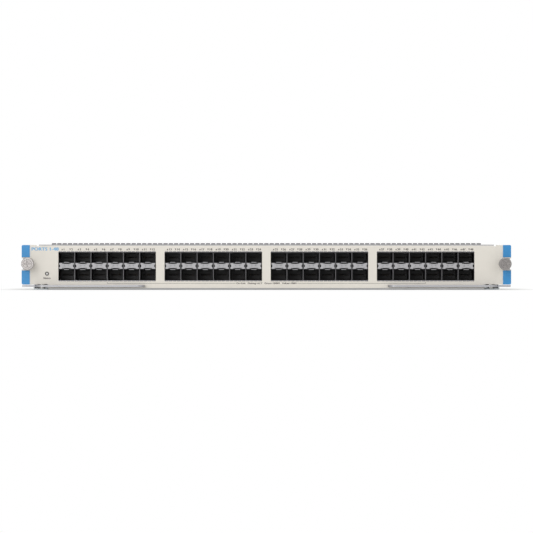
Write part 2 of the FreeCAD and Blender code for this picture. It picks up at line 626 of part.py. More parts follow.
def thrust_washer():
    """Right-hand washer between the spring and the screw's head."""
    front = head_rear() + PIVOT_PLAY
    rear = front + WASHER_THICK
    bore, outer = SCREW_NECK + NECK_PLAY, FERRULE_POCKET - NECK_PLAY
    return turned([(bore, front), (outer, front), (outer, rear), (bore, rear)], SCREW_X, SCREW_Z)


def screw_spring():
    """Right-hand compression spring between the bracket and the thrust washer."""
    half = SPRING_WIRE / 2
    front = head_rear() + PIVOT_PLAY + WASHER_THICK + half + SPRING_SEAT
    rear = PANEL_SHEET - half - SPRING_SEAT
    steps = SPRING_TURNS * SPRING_STEPS
    path = []
    for i in range(steps + 1):
        angle = 2 * math.pi * i / SPRING_STEPS
        path.append(V(SPRING_RADIUS * math.cos(angle), front + (rear - front) * i / steps,
                      SPRING_RADIUS * math.sin(angle)))
    start, along = path[0], (path[1] - path[0]).normalize()
    side = along.cross(V(1, 0, 0)).normalize() * half
    rise = along.cross(side).normalize() * half
    corners = [start + side + rise, start + side - rise, start - side - rise, start - side + rise]
    coil = Part.Wire(Part.makePolygon(path))
    shape = coil.makePipeShell([Part.makePolygon(corners + corners[:1])], True, True, 1)
    shape.translate(V(SCREW_X, 0, SCREW_Z))
    return shape


# ---------------------------------------------------------------- board and its parts
def main_board():
    """Circuit board from behind the panel to the backplane connectors."""
    return block(-BOARD_HALF, BOARD_HALF, BOARD_FRONT, BOARD_REAR, BOARD_BOTTOM, BOARD_TOP)


def insulation_sheet():
    """Thin sheet on the tray's floor, cut out round the standoffs."""
    half, front = BOARD_HALF - INSULATION_EDGE, FLANGE_DEPTH + LIP_STEP + INSULATION_FRONT
    shape = block(-half, half, front, TRAY_DEPTH - INSULATION_REAR, TRAY_SHEET, TRAY_SHEET + INSULATION_THICK)
    reach = STANDOFF_FLATS / 2 + INSULATION_CLEAR
    inside = [(x, y) for x, y in standoff_places() if abs(x) < half + reach]
    return shape.cut([block(x - reach, x + reach, y - reach, y + reach, 0, BOARD_BOTTOM) for x, y in inside])


def standoff(x, y):
    """Hexagonal standoff between the tray's floor and the board."""
    radius = STANDOFF_FLATS / math.sqrt(3)
    corners = [(x + radius * math.cos(math.radians(60 * i)), y + radius * math.sin(math.radians(60 * i)))
               for i in range(6)]
    return flat(corners, TRAY_SHEET, BOARD_BOTTOM)


def chip_centres():
    """(x, y) of the two switch chips."""
    return [(-CHIP_X, CHIP_Y), (CHIP_X, CHIP_Y)]


def slab(x, y, width, length, thick, base=None):
    """A flat package standing on the board."""
    z = BOARD_TOP if base is None else base
    return block(x - width / 2, x + width / 2, y - length / 2, y + length / 2, z, z + thick)


def heat_sink(x, y):
    """Extruded sink with fins along the card, its base bonded to a switch chip."""
    half, base = SINK_SIZE / 2, BOARD_TOP + CHIP_THICK
    pitch = (SINK_SIZE - FIN_THICK) / (SINK_FINS - 1)
    floor, top = base + SINK_BASE, base + SINK_HEIGHT
    points = [(x - half, base), (x + half, base)]
    for i in reversed(range(SINK_FINS)):
        fin = x - half + i * pitch
        points += [(fin + FIN_THICK, floor), (fin + FIN_THICK, top), (fin, top), (fin, floor)]
    points = [points[0], points[1], *points[3:-1]]
    return upright(points, y - half, y + half)


def phy_chips():
    """One port interface chip behind each half of a cage."""
    return [slab(x + s * WINDOW_HALF / 2, PHY_Y, PHY_SIZE, PHY_SIZE, PHY_THICK)
            for x in group_centres() for s in (-1, 1)]


def memory_chips():
    """Memory packages between and beside the switch chips."""
    solids = []
    for x in (-MEMORY_X, MEMORY_X):
        for i in range(MEMORY_ROW):
            y = CHIP_Y + (i - (MEMORY_ROW - 1) / 2) * (MEMORY_LENGTH + MEMORY_GAP)
            solids.append(slab(x, y, MEMORY_WIDTH, MEMORY_LENGTH, MEMORY_THICK))
    return solids


def power_bricks():
    """Two sealed power converters near the power connector."""
    return [slab(POWER_X, BRICK_Y + i * (BRICK_LENGTH + BRICK_GAP), BRICK_WIDTH, BRICK_LENGTH, BRICK_HEIGHT)
            for i in range(2)]


def inductors():
    """A row of moulded power inductors by each switch chip."""
    y = CHIP_Y + SINK_SIZE / 2 + INDUCTOR_LEAD
    return [slab(x + s * (INDUCTOR_SIZE + INDUCTOR_GAP), y, INDUCTOR_SIZE, INDUCTOR_SIZE, INDUCTOR_HEIGHT)
            for x, _ in chip_centres() for s in (-1, 0, 1)]


def capacitors():
    """A row of moulded bulk capacitors beside the power converters."""
    x, pitch = POWER_X - BRICK_WIDTH / 2 - CAPACITOR_LENGTH, CAPACITOR_WIDTH + CAPACITOR_GAP
    return [slab(x, CAPACITOR_Y + i * pitch, CAPACITOR_LENGTH, CAPACITOR_WIDTH, CAPACITOR_HEIGHT)
            for i in range(CAPACITORS)]


# ---------------------------------------------------------------- rear edge
def signal_connector(x):
    """Backplane connector with a row of open wafer slots in its rear face."""
    half = REAR_CONNECTOR_WIDTH / 2
    front, rear, top = CARD_DEPTH - REAR_CONNECTOR_DEPTH, CARD_DEPTH, BOARD_TOP + REAR_CONNECTOR_HEIGHT
    shape = block(x - half, x + half, front, rear, BOARD_TOP, top)
    count = int((REAR_CONNECTOR_WIDTH - WAFER_SLOT) // WAFER_PITCH)
    cuts = []
    for i in range(count):
        middle = x + (i - (count - 1) / 2) * WAFER_PITCH
        cuts.append(block(middle - WAFER_SLOT / 2, middle + WAFER_SLOT / 2, rear - WAFER_SLOT_DEPTH,
                          rear + PAST, BOARD_TOP + WAFER_FLOOR, top + PAST))
    return shape.cut(cuts)


def signal_connectors():
    """The row of backplane signal connectors."""
    return [signal_connector(REAR_FIRST_X + i * REAR_CONNECTOR_PITCH) for i in range(REAR_CONNECTORS)]


def power_connector():
    """Blade connector for the chassis supply, with one slot for each blade."""
    half, x = POWER_CONNECTOR_WIDTH / 2, POWER_CONNECTOR_X
    front, top = CARD_DEPTH - REAR_CONNECTOR_DEPTH, BOARD_TOP + POWER_CONNECTOR_HEIGHT
    shape = block(x - half, x + half, front, CARD_DEPTH, BOARD_TOP, top)
    pitch = POWER_CONNECTOR_WIDTH / POWER_BLADES
    cuts = []
    for i in range(POWER_BLADES):
        middle = x - half + (i + 0.5) * pitch
        cuts.append(block(middle - BLADE_SLOT / 2, middle + BLADE_SLOT / 2, CARD_DEPTH - BLADE_DEPTH,
                          CARD_DEPTH + PAST, BOARD_TOP + BLADE_FLOOR, top - BLADE_ROOF))
    return shape.cut(cuts)


def guide_socket():
    """Right-hand guide block with a round socket for a chassis pin."""
    half = GUIDE_BLOCK / 2
    front, rear, z = CARD_DEPTH - GUIDE_DEPTH, CARD_DEPTH, BOARD_TOP + half
    shape = block(GUIDE_X - half, GUIDE_X + half, front, rear, BOARD_TOP, BOARD_TOP + GUIDE_BLOCK)
    return shape.cut(rod(GUIDE_BORE, (GUIDE_X, rear - GUIDE_BORE_DEPTH, z), (GUIDE_X, rear + PAST, z)))


def rear_stiffener():
    """Bar across the board in front of the backplane connectors."""
    half, rear = BOARD_HALF - STIFFENER_EDGE, CARD_DEPTH - GUIDE_DEPTH - STIFFENER_GAP
    return block(-half, half, rear - STIFFENER_WIDTH, rear, BOARD_TOP, BOARD_TOP + STIFFENER_HEIGHT)


# ---------------------------------------------------------------- status lamp
def status_lamp():
    """Small lamp on the board under the bent light pipe."""
    return slab(LAMP_X, LAMP_Y, LAMP_CHIP, LAMP_CHIP, LAMP_CHIP_THICK)


def status_light_pipe():
    """Round light pipe from the panel's hole, with a square leg down over the lamp."""
    radius = LAMP_HOLE - LAMP_PLAY
    across = rod(radius, (LAMP_X, -LAMP_PROUD, LAMP_Z), (LAMP_X, LAMP_Y, LAMP_Z))
    leg = block(LAMP_X - radius, LAMP_X + radius, LAMP_Y - radius, LAMP_Y + radius, BOARD_TOP, LAMP_Z + radius)
    room = LAMP_CHIP / 2 + LAMP_PLAY
    pocket = block(LAMP_X - room, LAMP_X + room, LAMP_Y - room, LAMP_Y + room, BOARD_TOP - PAST,
                   BOARD_TOP + LAMP_CHIP_THICK + LAMP_PLAY)
    return across.fuse(leg).cut(pocket)


# ---------------------------------------------------------------- the card
def main():
    os.makedirs("parts", exist_ok=True)
    save("front_panel", front_panel())
    for side, shape in zip(("left", "right"), on_both_sides(Part.makeCompound(end_overlay()))):
        save(side + "_end_overlay", shape.Solids)
    save("top_gasket_strip", gasket_strip())
    for number, x in enumerate(group_centres(), 1):
        save("port_cage_%d" % number, port_cage(x))
        columns = column_centres(x)
        save("port_spacers_%d" % number, [spacer(c) for c in columns])
        save("light_guides_%d" % number, [light_guide(c) for c in columns])
        save("port_connectors_%d" % number, [connector(c) for c in columns])
    save("carrier_tray", carrier_tray())
    save("ear_brackets", on_both_sides(ear_bracket()))
    save("lever_pivots", on_both_sides(lever_pivot()))
    save("screw_ferrules", on_both_sides(screw_ferrule()))
    save("guide_sockets", on_both_sides(guide_socket()))
    moving = {"ejector_lever": ejector_lever, "thumb_knob": thumb_knob, "captive_screw": captive_screw,
              "thrust_washer": thrust_washer, "screw_spring": screw_spring}
    for name, make in moving.items():
        for side, shape in zip(("left", "right"), on_both_sides(make())):
            save(side + "_" + name, shape)
    save("main_board", main_board())
    save("insulation_sheet", insulation_sheet())
    save("board_standoffs", [standoff(x, y) for x, y in standoff_places()])
    save("switch_chips", [slab(x, y, CHIP_SIZE, CHIP_SIZE, CHIP_THICK) for x, y in chip_centres()])
    save("heat_sinks", [heat_sink(x, y) for x, y in chip_centres()])
    save("port_interface_chips", phy_chips())
    save("memory_chips", memory_chips())
    save("power_converters", power_bricks())
    save("power_inductors", inductors())
    save("bulk_capacitors", capacitors())
    save("signal_connectors", signal_connectors())
    save("power_connector", power_connector())
    save("rear_stiffener", rear_stiffener())
    save("status_lamp", status_lamp())
    save("status_light_pipe", status_light_pipe())


main()
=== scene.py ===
"""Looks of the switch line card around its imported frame.

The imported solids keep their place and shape.  This script gives each of them a finish, puts finer
pieces in place of a few plain solids (springs, screws, knobs, spacers, connectors and the finger
strip), adds the small fittings and the printing that are too fine for the solids, and sets up the
floor, the light and the camera.

Lengths are in millimetres until they reach Blender, which works in metres.
"""
import json
import logging
import math
from dataclasses import dataclass, field
from enum import Enum
from typing import Sequence

import bmesh
import bpy
import numpy as np
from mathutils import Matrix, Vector

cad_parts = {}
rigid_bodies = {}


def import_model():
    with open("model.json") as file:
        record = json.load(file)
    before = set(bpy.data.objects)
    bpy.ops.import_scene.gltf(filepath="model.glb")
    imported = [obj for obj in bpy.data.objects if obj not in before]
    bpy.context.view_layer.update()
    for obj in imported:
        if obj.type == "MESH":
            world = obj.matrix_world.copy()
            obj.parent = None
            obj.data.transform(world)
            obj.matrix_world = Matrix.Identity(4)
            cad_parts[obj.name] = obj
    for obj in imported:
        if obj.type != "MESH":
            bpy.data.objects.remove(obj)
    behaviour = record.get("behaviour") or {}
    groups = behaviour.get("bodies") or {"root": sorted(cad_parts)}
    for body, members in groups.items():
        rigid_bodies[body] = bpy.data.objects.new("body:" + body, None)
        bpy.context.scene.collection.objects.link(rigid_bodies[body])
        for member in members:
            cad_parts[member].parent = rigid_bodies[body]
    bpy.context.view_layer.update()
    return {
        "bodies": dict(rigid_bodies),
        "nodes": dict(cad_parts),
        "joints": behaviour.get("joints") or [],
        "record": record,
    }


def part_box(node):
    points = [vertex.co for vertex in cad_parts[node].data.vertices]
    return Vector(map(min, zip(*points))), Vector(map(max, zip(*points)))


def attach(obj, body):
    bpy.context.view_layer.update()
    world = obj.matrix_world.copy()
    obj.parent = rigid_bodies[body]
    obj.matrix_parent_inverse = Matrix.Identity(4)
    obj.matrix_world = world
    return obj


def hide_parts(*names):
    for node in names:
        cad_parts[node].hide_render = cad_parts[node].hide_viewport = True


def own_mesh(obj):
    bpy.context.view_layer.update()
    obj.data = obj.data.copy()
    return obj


LOG = logging.getLogger("line_card")
MM = 0.001
PER_MM = (1 / MM, 1 / MM, 1 / MM)

Array = np.ndarray
Colour = tuple[float, float, float, float]
Outline = Sequence[tuple[float, float]]
Socket = bpy.types.NodeSocket


# ================================================================ colour and shader nodes
def linear(code: str, share: float = 1.0) -> Colour:
    """Turn a written colour into the linear values that a shader takes.

    Args:
        code: Six hexadecimal digits, red first.
        share: Part of its strength that is kept.

    Returns:
        Red, green, blue and an alpha of one.
    """
    steps = [int(code[i:i + 2], 16) / 255 for i in (0, 2, 4)]
    values = [c / 12.92 if c <= 0.04045 else ((c + 0.055) / 1.055) ** 2.4 for c in steps]
    return (*(c * share for c in values), 1.0)


class Shader:
    """A material's node tree, with one short way to add a node."""

    def __init__(self, name: str) -> None:
        self.material = bpy.data.materials.new(name)
        self.material.use_nodes = True
        self.tree = self.material.node_tree
        self.surface = self.tree.nodes["Principled BSDF"]
        self.output = self.tree.nodes["Material Output"]

    @classmethod
    def on(cls, owner: bpy.types.World) -> "Shader":
        """The same way to add nodes, for a world's tree."""
        shader = cls.__new__(cls)
        owner.use_nodes = True
        shader.tree = owner.node_tree
        return shader

    def add(self, kind: str, inputs: dict | None = None, out: int | str = 0,
            **settings: object) -> Socket:
        """Add a node with its settings and links.

        Args:
            kind: Node type without its "ShaderNode" prefix.
            inputs: Values or sockets for the node's inputs, by name or number.
            out: Name or number of the output that is handed on.
            settings: Properties of the node itself.

        Returns:
            That output.
        """
        node = self.tree.nodes.new("ShaderNode" + kind)
        for key, value in settings.items():
            setattr(node, key, value)
        for key, value in (inputs or {}).items():
            self.feed(node.inputs[key], value)
        return node.outputs[out]

    def feed(self, socket: Socket, value: object) -> None:
        """Link a socket to another one, or give it a constant.

        Args:
            socket: The input to fill.
            value: An output to link to it, or its constant.
        """
        if isinstance(value, Socket):
            self.tree.links.new(value, socket)
        else:
            socket.default_value = value

    def surfaced(self, **values: object) -> bpy.types.Material:
        """Fill the surface's own sockets.

        Args:
            values: Values or sockets by name, with an underscore for each space.

        Returns:
            The finished material.
        """
        for key, value in values.items():
            self.feed(self.surface.inputs[key.replace("_", " ")], value)
        return self.material


# ================================================================ finishes
@dataclass(frozen=True)
class Paint:
    """Powder coat, ink, film or moulded plastic: a colour under a fine relief."""

    name: str
    colour: str
    roughness: float
    grain: float = 0.4
    relief: float = 0.004
    mottle: float = 0.03
    rounding: float = 0.12
    cloud: float = 24.0

    def make(self) -> bpy.types.Material:
        """Broad noise shifts the colour by a few percent, and fine noise raises the relief."""
        shader = Shader(self.name)
        place = shader.add("Mapping", {0: shader.add("TexCoord", out="Object"), "Scale": PER_MM})
        broad = shader.add("TexNoise", {"Vector": place, "Scale": 1 / (self.cloud * self.grain)}, "Fac")
        share = shader.add("MapRange", {"Value": broad, "From Min": 0.35, "From Max": 0.65})
        colour = shader.add("Mix", {0: share, 6: linear(self.colour, 1 - self.mottle),
                                    7: linear(self.colour)}, 2, data_type="RGBA")
        fine = shader.add("TexNoise", {"Vector": place, "Scale": 1 / self.grain}, "Fac")
        relief = {"Height": fine, "Distance": self.relief * MM}
        if self.rounding:
            relief["Normal"] = shader.add("Bevel", {"Radius": self.rounding * MM}, samples=4)
        return shader.surfaced(Base_Color=colour, Roughness=self.roughness, IOR=1.5,
                               Normal=shader.add("Bump", relief))


class Lay(Enum):
    """Direction of the fine lines that rolling or brushing leaves in a metal."""

    ALONG_X = (0.04, 1.0, 1.0)
    ALONG_Y = (1.0, 0.04, 1.0)
    NONE = (1.0, 1.0, 1.0)


@dataclass(frozen=True)
class Metal:
    """Bare or plated metal: a tinted mirror with lines or grains in its roughness."""

    name: str
    colour: str
    roughness: float
    lay: Lay = Lay.NONE
    grain: float = 0.25
    spread: float = 0.08
    relief: float = 0.002
    rounding: float = 0.1
    shade: float = 0.92

    def make(self) -> bpy.types.Material:
        """Noise stretched along the lay varies the roughness and raises a shallow relief."""
        shader = Shader(self.name)
        place = shader.add("Mapping", {0: shader.add("TexCoord", out="Object"),
                                       "Scale": [s / MM for s in self.lay.value]})
        lines = shader.add("TexNoise", {"Vector": place, "Scale": 1 / self.grain, "Detail": 3.0}, "Fac")
        rough = shader.add("MapRange", {"Value": lines, "From Min": 0.3, "From Max": 0.7,
                                        "To Min": self.roughness - self.spread,
                                        "To Max": self.roughness + self.spread})
        colour = shader.add("Mix", {0: lines, 6: linear(self.colour, self.shade),
                                    7: linear(self.colour)}, 2, data_type="RGBA")
        edges = shader.add("Bevel", {"Radius": self.rounding * MM}, samples=4)
        normal = shader.add("Bump", {"Height": lines, "Distance": self.relief * MM, "Normal": edges})
        return shader.surfaced(Base_Color=colour, Metallic=1.0, Roughness=rough, Normal=normal)


@dataclass(frozen=True)
class Clear:
    """Clear moulded plastic: light passes, and a little is scattered back."""

    name: str
    colour: str
    roughness: float
    passing: float
    rounding: float = 0.1

    def make(self) -> bpy.types.Material:
        """The share that doesn't pass is scattered back and keeps the moulding pale where thick."""
        shader = Shader(self.name)
        edges = shader.add("Bevel", {"Radius": self.rounding * MM}, samples=4)
        return shader.surfaced(Base_Color=linear(self.colour), Roughness=self.roughness, IOR=1.49,
                               Transmission_Weight=self.passing, Normal=edges)


@dataclass(frozen=True)
class Laminate:
    """Circuit board: green solder mask over copper tracks that run across the card."""

    name: str
    mask: str = "1E4A35"
    copper: str = "2F6B45"
    pitch: float = 1.6
    wave: float = 0.314
    area: float = 26.0
    stretch: float = 0.4
    relief: float = 0.03

    def make(self) -> bpy.types.Material:
        """Bands of a wave, broken by noise, lift and lighten the mask over a track.

        A wave whose scale is one repeats every 0.314 of a unit.  Real tracks are finer than the
        pitch here, which is drawn as coarse as it needs to show.
        """
        shader = Shader(self.name)
        origin = shader.add("TexCoord", out="Object")
        place = shader.add("Mapping", {0: origin, "Scale": PER_MM})
        bands = shader.add("TexWave", {"Vector": place, "Scale": self.wave / self.pitch,
                                       "Distortion": 0.0}, "Fac", bands_direction="X",
                           wave_profile="SIN")
        across = shader.add("MapRange", {"Value": bands, "From Min": 0.62, "From Max": 0.72})
        wide = shader.add("Mapping", {0: origin, "Scale": (self.stretch / MM, 1 / MM, 1 / MM)})
        patches = shader.add("TexNoise", {"Vector": wide, "Scale": 1 / self.area, "Detail": 0.0}, "Fac")
        area = shader.add("MapRange", {"Value": patches, "From Min": 0.48, "From Max": 0.52})
        track = shader.add("Math", {0: across, 1: area}, operation="MULTIPLY")
        colour = shader.add("Mix", {0: track, 6: linear(self.mask), 7: linear(self.copper)}, 2,
                            data_type="RGBA")
        normal = shader.add("Bump", {"Height": track, "Distance": self.relief * MM})
        return shader.surfaced(Base_Color=colour, Roughness=0.38, IOR=1.5, Normal=normal)


@dataclass(frozen=True)
class Perforated:
    """Rolled sheet of the cages: metal with rows of round vent holes in its roof."""

    name: str
    colour: str
    pitch: float = 3.56
    hole: float = 0.95
    roof: float = 33.2
    # Painted shade: in front of this depth the sheet takes the darker edge colour.
    front: float = -168.2
    edge: str = "5A595B"
    depth: float = 0.3
    grain: float = 0.3
    shine: float = 0.7

    def make(self) -> bpy.types.Material:
        """Distance to the nearest point of a square lattice, shown only above the ports.

        A point is in a hole where the squares of its two distances from the middle of its cell add
        up to less than the square of the hole's radius.  The sheared front edges take a darker colour,
        a painted shade of the window's rim.
        """
        shader = Shader(self.name)
        origin = shader.add("TexCoord", out="Object")
        place = shader.add("Mapping", {0: origin, "Scale": PER_MM})
        x, y, z = shader.add("SeparateXYZ", {0: place}).node.outputs
        squares = []
        for distance in (x, y):
            cell = shader.add("Math", {0: distance, 1: self.pitch}, operation="PINGPONG")
            offset = shader.add("Math", {0: cell, 1: self.pitch / 2}, operation="SUBTRACT")
            squares.append(shader.add("Math", {0: offset, 1: offset}, operation="MULTIPLY"))
        total = shader.add("Math", {0: squares[0], 1: squares[1]}, operation="ADD")
        inside = shader.add("Math", {0: total, 1: self.hole ** 2}, operation="LESS_THAN")
        above = shader.add("Math", {0: z, 1: self.roof}, operation="GREATER_THAN")
        hole = shader.add("Math", {0: inside, 1: above}, operation="MULTIPLY")
        metal = shader.add("MapRange", {"Value": hole, "To Min": self.shine, "To Max": 0.0})
        # Painted shade on the front edges of the cage walls.
        front_shade = shader.add("Math", {0: y, 1: self.front}, operation="LESS_THAN")
        sheet = shader.add("Mix", {0: front_shade, 6: linear(self.colour), 7: linear(self.edge)}, 2,
                           data_type="RGBA")
        colour = shader.add("Mix", {0: hole, 6: sheet, 7: linear("050505")}, 2, data_type="RGBA")
        rolled = shader.add("Mapping", {0: origin, "Scale": [s / MM for s in Lay.ALONG_Y.value]})
        lines = shader.add("TexNoise", {"Vector": rolled, "Scale": 1 / self.grain}, "Fac")
        rough = shader.add("MapRange", {"Value": lines, "From Min": 0.3, "From Max": 0.7,
                                        "To Min": 0.32, "To Max": 0.48})
        normal = shader.add("Bump", {"Height": metal, "Distance": self.depth * MM})
        return shader.surfaced(Base_Color=colour, Metallic=metal, Roughness=rough, Normal=normal)


@dataclass(frozen=True)
class CoatedSheet:
    """Folded panel: plated steel, coated on its front face alone, so folds and rear stay bare."""

    name: str
    coat: str
    steel: str
    face: float = -169.0
    lower_edge: float = 1.5
    upper_edge: float = 38.45
    ear_start: float = 199.6
    fade: float = 0.1
    grain: float = 0.35
    cloud: float = 24.0
    spangle: float = 2.2
    relief: float = 0.006
    rounding: float = 0.12

    def make(self) -> bpy.types.Material:
        """The coat is the product of soft steps in depth and height; on the ears it meets the edges."""
        shader = Shader(self.name)
        place = shader.add("Mapping", {0: shader.add("TexCoord", out="Object"), "Scale": PER_MM})
        x, y, z = shader.add("SeparateXYZ", {0: place}).node.outputs
        fade = self.fade
        front = shader.add("MapRange", {"Value": y, "From Min": self.face + 2.5 * fade,
                                        "From Max": self.face + 3.5 * fade, "To Min": 1.0,
                                        "To Max": 0.0})
        low = shader.add("MapRange", {"Value": z, "From Min": self.lower_edge - fade,
                                      "From Max": self.lower_edge + fade})
        high = shader.add("MapRange", {"Value": z, "From Min": self.upper_edge - fade,
                                       "From Max": self.upper_edge + fade, "To Min": 1.0,
                                       "To Max": 0.0})
        across = shader.add("Math", {0: x}, operation="ABSOLUTE")
        ear = shader.add("MapRange", {"Value": across, "From Min": self.ear_start - fade,
                                      "From Max": self.ear_start + fade})
        middle = shader.add("Math", {0: low, 1: high}, operation="MULTIPLY")
        either = shader.add("Math", {0: middle, 1: ear}, operation="MAXIMUM")
        coated = shader.add("Math", {0: front, 1: either}, operation="MULTIPLY")
        broad = shader.add("TexNoise", {"Vector": place, "Scale": 1 / (self.cloud * self.grain)}, "Fac")
        share = shader.add("MapRange", {"Value": broad, "From Min": 0.35, "From Max": 0.65})
        paint = shader.add("Mix", {0: share, 6: linear(self.coat, 0.98), 7: linear(self.coat)}, 2,
                           data_type="RGBA")
        colour = shader.add("Mix", {0: coated, 6: linear(self.steel), 7: paint}, 2, data_type="RGBA")
        zinc = shader.add("TexNoise", {"Vector": place, "Scale": 1 / self.spangle, "Detail": 3.0}, "Fac")
        bare = shader.add("MapRange", {"Value": zinc, "From Min": 0.3, "From Max": 0.7,
                                       "To Min": 0.34, "To Max": 0.5})
        rough = shader.add("MapRange", {"Value": coated, "To Min": bare, "To Max": 0.55})
        metal = shader.add("MapRange", {"Value": coated, "To Min": 1.0, "To Max": 0.0})
        peel = shader.add("TexNoise", {"Vector": place, "Scale": 1 / self.grain}, "Fac")
        edges = shader.add("Bevel", {"Radius": self.rounding * MM}, samples=4)
        normal = shader.add("Bump", {"Height": peel, "Distance": self.relief * MM, "Normal": edges})
        return shader.surfaced(Base_Color=colour, Roughness=rough, IOR=1.5, Metallic=metal,
                               Normal=normal)


FINISHES = {
    # A warm off-white with a faint orange peel and no mirror image; its bare folds shine grey.
    "panel_coating": CoatedSheet("powder_coated_steel", "E2DDD4", "A9A8A8"),
    # Flat saturated blue with the soft sheen of a printed label.
    "end_band": Paint("printed_blue_film", "2F8BC9", 0.35, grain=0.5, relief=0.003, mottle=0.04),
    # Rolled spring steel: grey, with highlights drawn out along the roll.
    "spring_strip": Metal("spring_temper_steel", "8F8E91", 0.3, Lay.ALONG_X),
    # Zinc plate shows as large soft grains, each a little duller or brighter than the next.
    "zinc_steel": Metal("zinc_plated_steel", "A4A8AA", 0.4, grain=1.4, spread=0.1),
    # Warm grey sheet, dark where vent holes open into the cage, with painted shade on its front edges.
    "cage_sheet": Perforated("rolled_nickel_silver", "838183"),
    # Tinned sheet is paler and duller than the cage behind it.
    "spacer_sheet": Metal("rolled_tinned_steel", "A09FA1", 0.5, Lay.ALONG_X),
    # Satin plate that spreads a light into a long pale band.
    "lever_steel": Metal("plated_lever_steel", "A6A6A9", 0.46, Lay.ALONG_X, spread=0.05),
    # Bright nickel: small sharp glints on the knurl and a dark ring at the rim.
    "knob_metal": Metal("nickel_plated_knob", "94908E", 0.22, grain=0.4, spread=0.04),
    "nickel_metal": Metal("nickel_plated_steel", "B6B4AE", 0.3),
    # Cast skin: matt and slightly pebbled.
    "guide_metal": Metal("die_cast_zinc", "9C9D9F", 0.55, grain=0.6, relief=0.006),
    # Deep green gloss with lighter raised tracks.
    "board_laminate": Laminate("solder_masked_laminate"),
    # Matt black sheet that hides the steel under it.
    "insulation_film": Paint("black_insulation_film", "1B1B1D", 0.6, grain=0.2),
    # Moulded epoxy: charcoal with a fine spark-eroded texture.
    "chip_package": Paint("moulded_chip_epoxy", "222326", 0.55, grain=0.15, relief=0.004),
    # Anodised extrusion: dark satin with lines along its length.
    "converter_case": Metal("black_anodised_aluminium", "3A3B3D", 0.45, Lay.ALONG_X),
    # Pressed powder: speckled dark grey and visibly rough.
    "inductor_case": Paint("pressed_iron_powder", "4A4B4E", 0.6, grain=0.3, relief=0.02, mottle=0.15),
    # The mustard yellow of a moulded tantalum capacitor.
    "capacitor_case": Paint("moulded_tantalum_capacitor", "B98A3C", 0.5, grain=0.3),
    # Natural extruded fins, lined front to back.
    "sink_metal": Metal("extruded_aluminium", "A0A2A4", 0.45, Lay.ALONG_Y, relief=0.004),
    # Glass-filled polymer: nearly black, with a grey bloom at low angles.
    "connector_plastic": Paint("moulded_black_polymer", "1E1A1E", 0.45, grain=0.25, mottle=0.1),
    # Clear and milky mouldings: pale grey where thick, white where frosted.
    "clear_moulding": Clear("clear_light_guide", "BCC0C0", 0.12, 0.45),
    "frosted_moulding": Clear("frosted_lamp_lens", "F0F0EC", 0.5, 0.2),
    "lamp_package": Paint("lamp_resin", "E8E6DA", 0.3),
    # Gold on open contacts is yellow; the contacts deep in a port are a dull brown, painted shade on
    # gold.
    "gold_contact": Metal("gold_plated_contact", "C9A45A", 0.25),
    "port_contact": Metal("recessed_gold_contact", "5A4A30", 0.5),
    # Sand-coloured ceramic between silvery ends.
    "ceramic_chip": Paint("fired_ceramic", "A88E66", 0.5, grain=0.2),
    "tinned_end": Metal("tin_plated_terminal", "B4B5B6", 0.38),
    # Drawn can: bright rim and a soft grey side.
    "can_aluminium": Metal("drawn_aluminium_can", "A9ABAD", 0.36),
    # Tin plate with painted shade of the top edge, so darker than the window's fingers.
    "finger_strip": Metal("tin_plated_spring_fingers", "454448", 0.42, Lay.ALONG_X),
    # Screen inks: flat colour with no relief of their own.
    "white_ink": Paint("white_legend_ink", "D6D8D2", 0.6, relief=0.0, rounding=0.0),
    "grey_ink": Paint("grey_screen_ink", "3A3432", 0.6, relief=0.0, rounding=0.0),
    "blue_ink": Paint("blue_screen_ink", "5CA8DA", 0.6, relief=0.0, rounding=0.0),
}


class Finishes:
    """The object's materials, each made once."""

    def __init__(self) -> None:
        self.made: dict[str, bpy.types.Material] = {}

    def get(self, look: str) -> bpy.types.Material:
        """Find one of the finishes, and make it where it is new.

        Args:
            look: Its name among the finishes.

        Returns:
            Its material.
        """
        if look not in self.made:
            self.made[look] = FINISHES[look].make()
        return self.made[look]

    def dress(self, frame: dict) -> None:
        """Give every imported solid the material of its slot, and the status lamp a frosted lens.

        Args:
            frame: The loaded frame, with its record and nodes.
        """
        for entry in frame["record"]["subparts"]:
            node = frame["nodes"][entry["node"]]
            lens = entry["node"] == "status_light_pipe"
            node.data.materials.clear()
            node.data.materials.append(self.get("frosted_moulding" if lens else entry["material_slot"]))


# ================================================================ meshes from numpy arrays
def quads(rows: int, columns: int, wrap_rows: bool = False, wrap_columns: bool = False) -> Array:
    """Corner numbers of the faces of a grid of points.

    Args:
        rows: Points along the first direction.
        columns: Points along the second direction.
        wrap_rows: Join the last row to the first.
        wrap_columns: Join the last column to the first.

    Returns:
        One row of four numbers for each face.
    """
    index = np.arange(rows * columns).reshape(rows, columns)
    if wrap_rows:
        index = np.vstack([index, index[:1]])
    if wrap_columns:
        index = np.hstack([index, index[:, :1]])
    faces = [index[:-1, :-1], index[1:, :-1], index[1:, 1:], index[:-1, 1:]]
    return np.stack(faces, axis=-1).reshape(-1, 4)


def bar_faces(sections: int) -> Array:
    """Faces of a bar that is closed at both ends.

    Args:
        sections: How many sections of four corners it runs through.

    Returns:
        One row of four corner numbers for each face.
    """
    end = 4 * (sections - 1)
    return np.vstack([quads(sections, 4, wrap_columns=True), [[0, 1, 2, 3]],
                      [[end, end + 1, end + 2, end + 3]]])


def along_x(count: int, pitch: float, centre: float = 0.0) -> Array:
    """Places in a row along X: place i of n lies at centre + pitch (i - (n - 1) / 2).

    Args:
        count: How many places.
        pitch: Distance from one to the next.
        centre: Middle of the row.

    Returns:
        One row of X, Y and Z for each place.
    """
    places = np.zeros((count, 3))
    places[:, 0] = centre + pitch * (np.arange(count) - (count - 1) / 2)
    return places


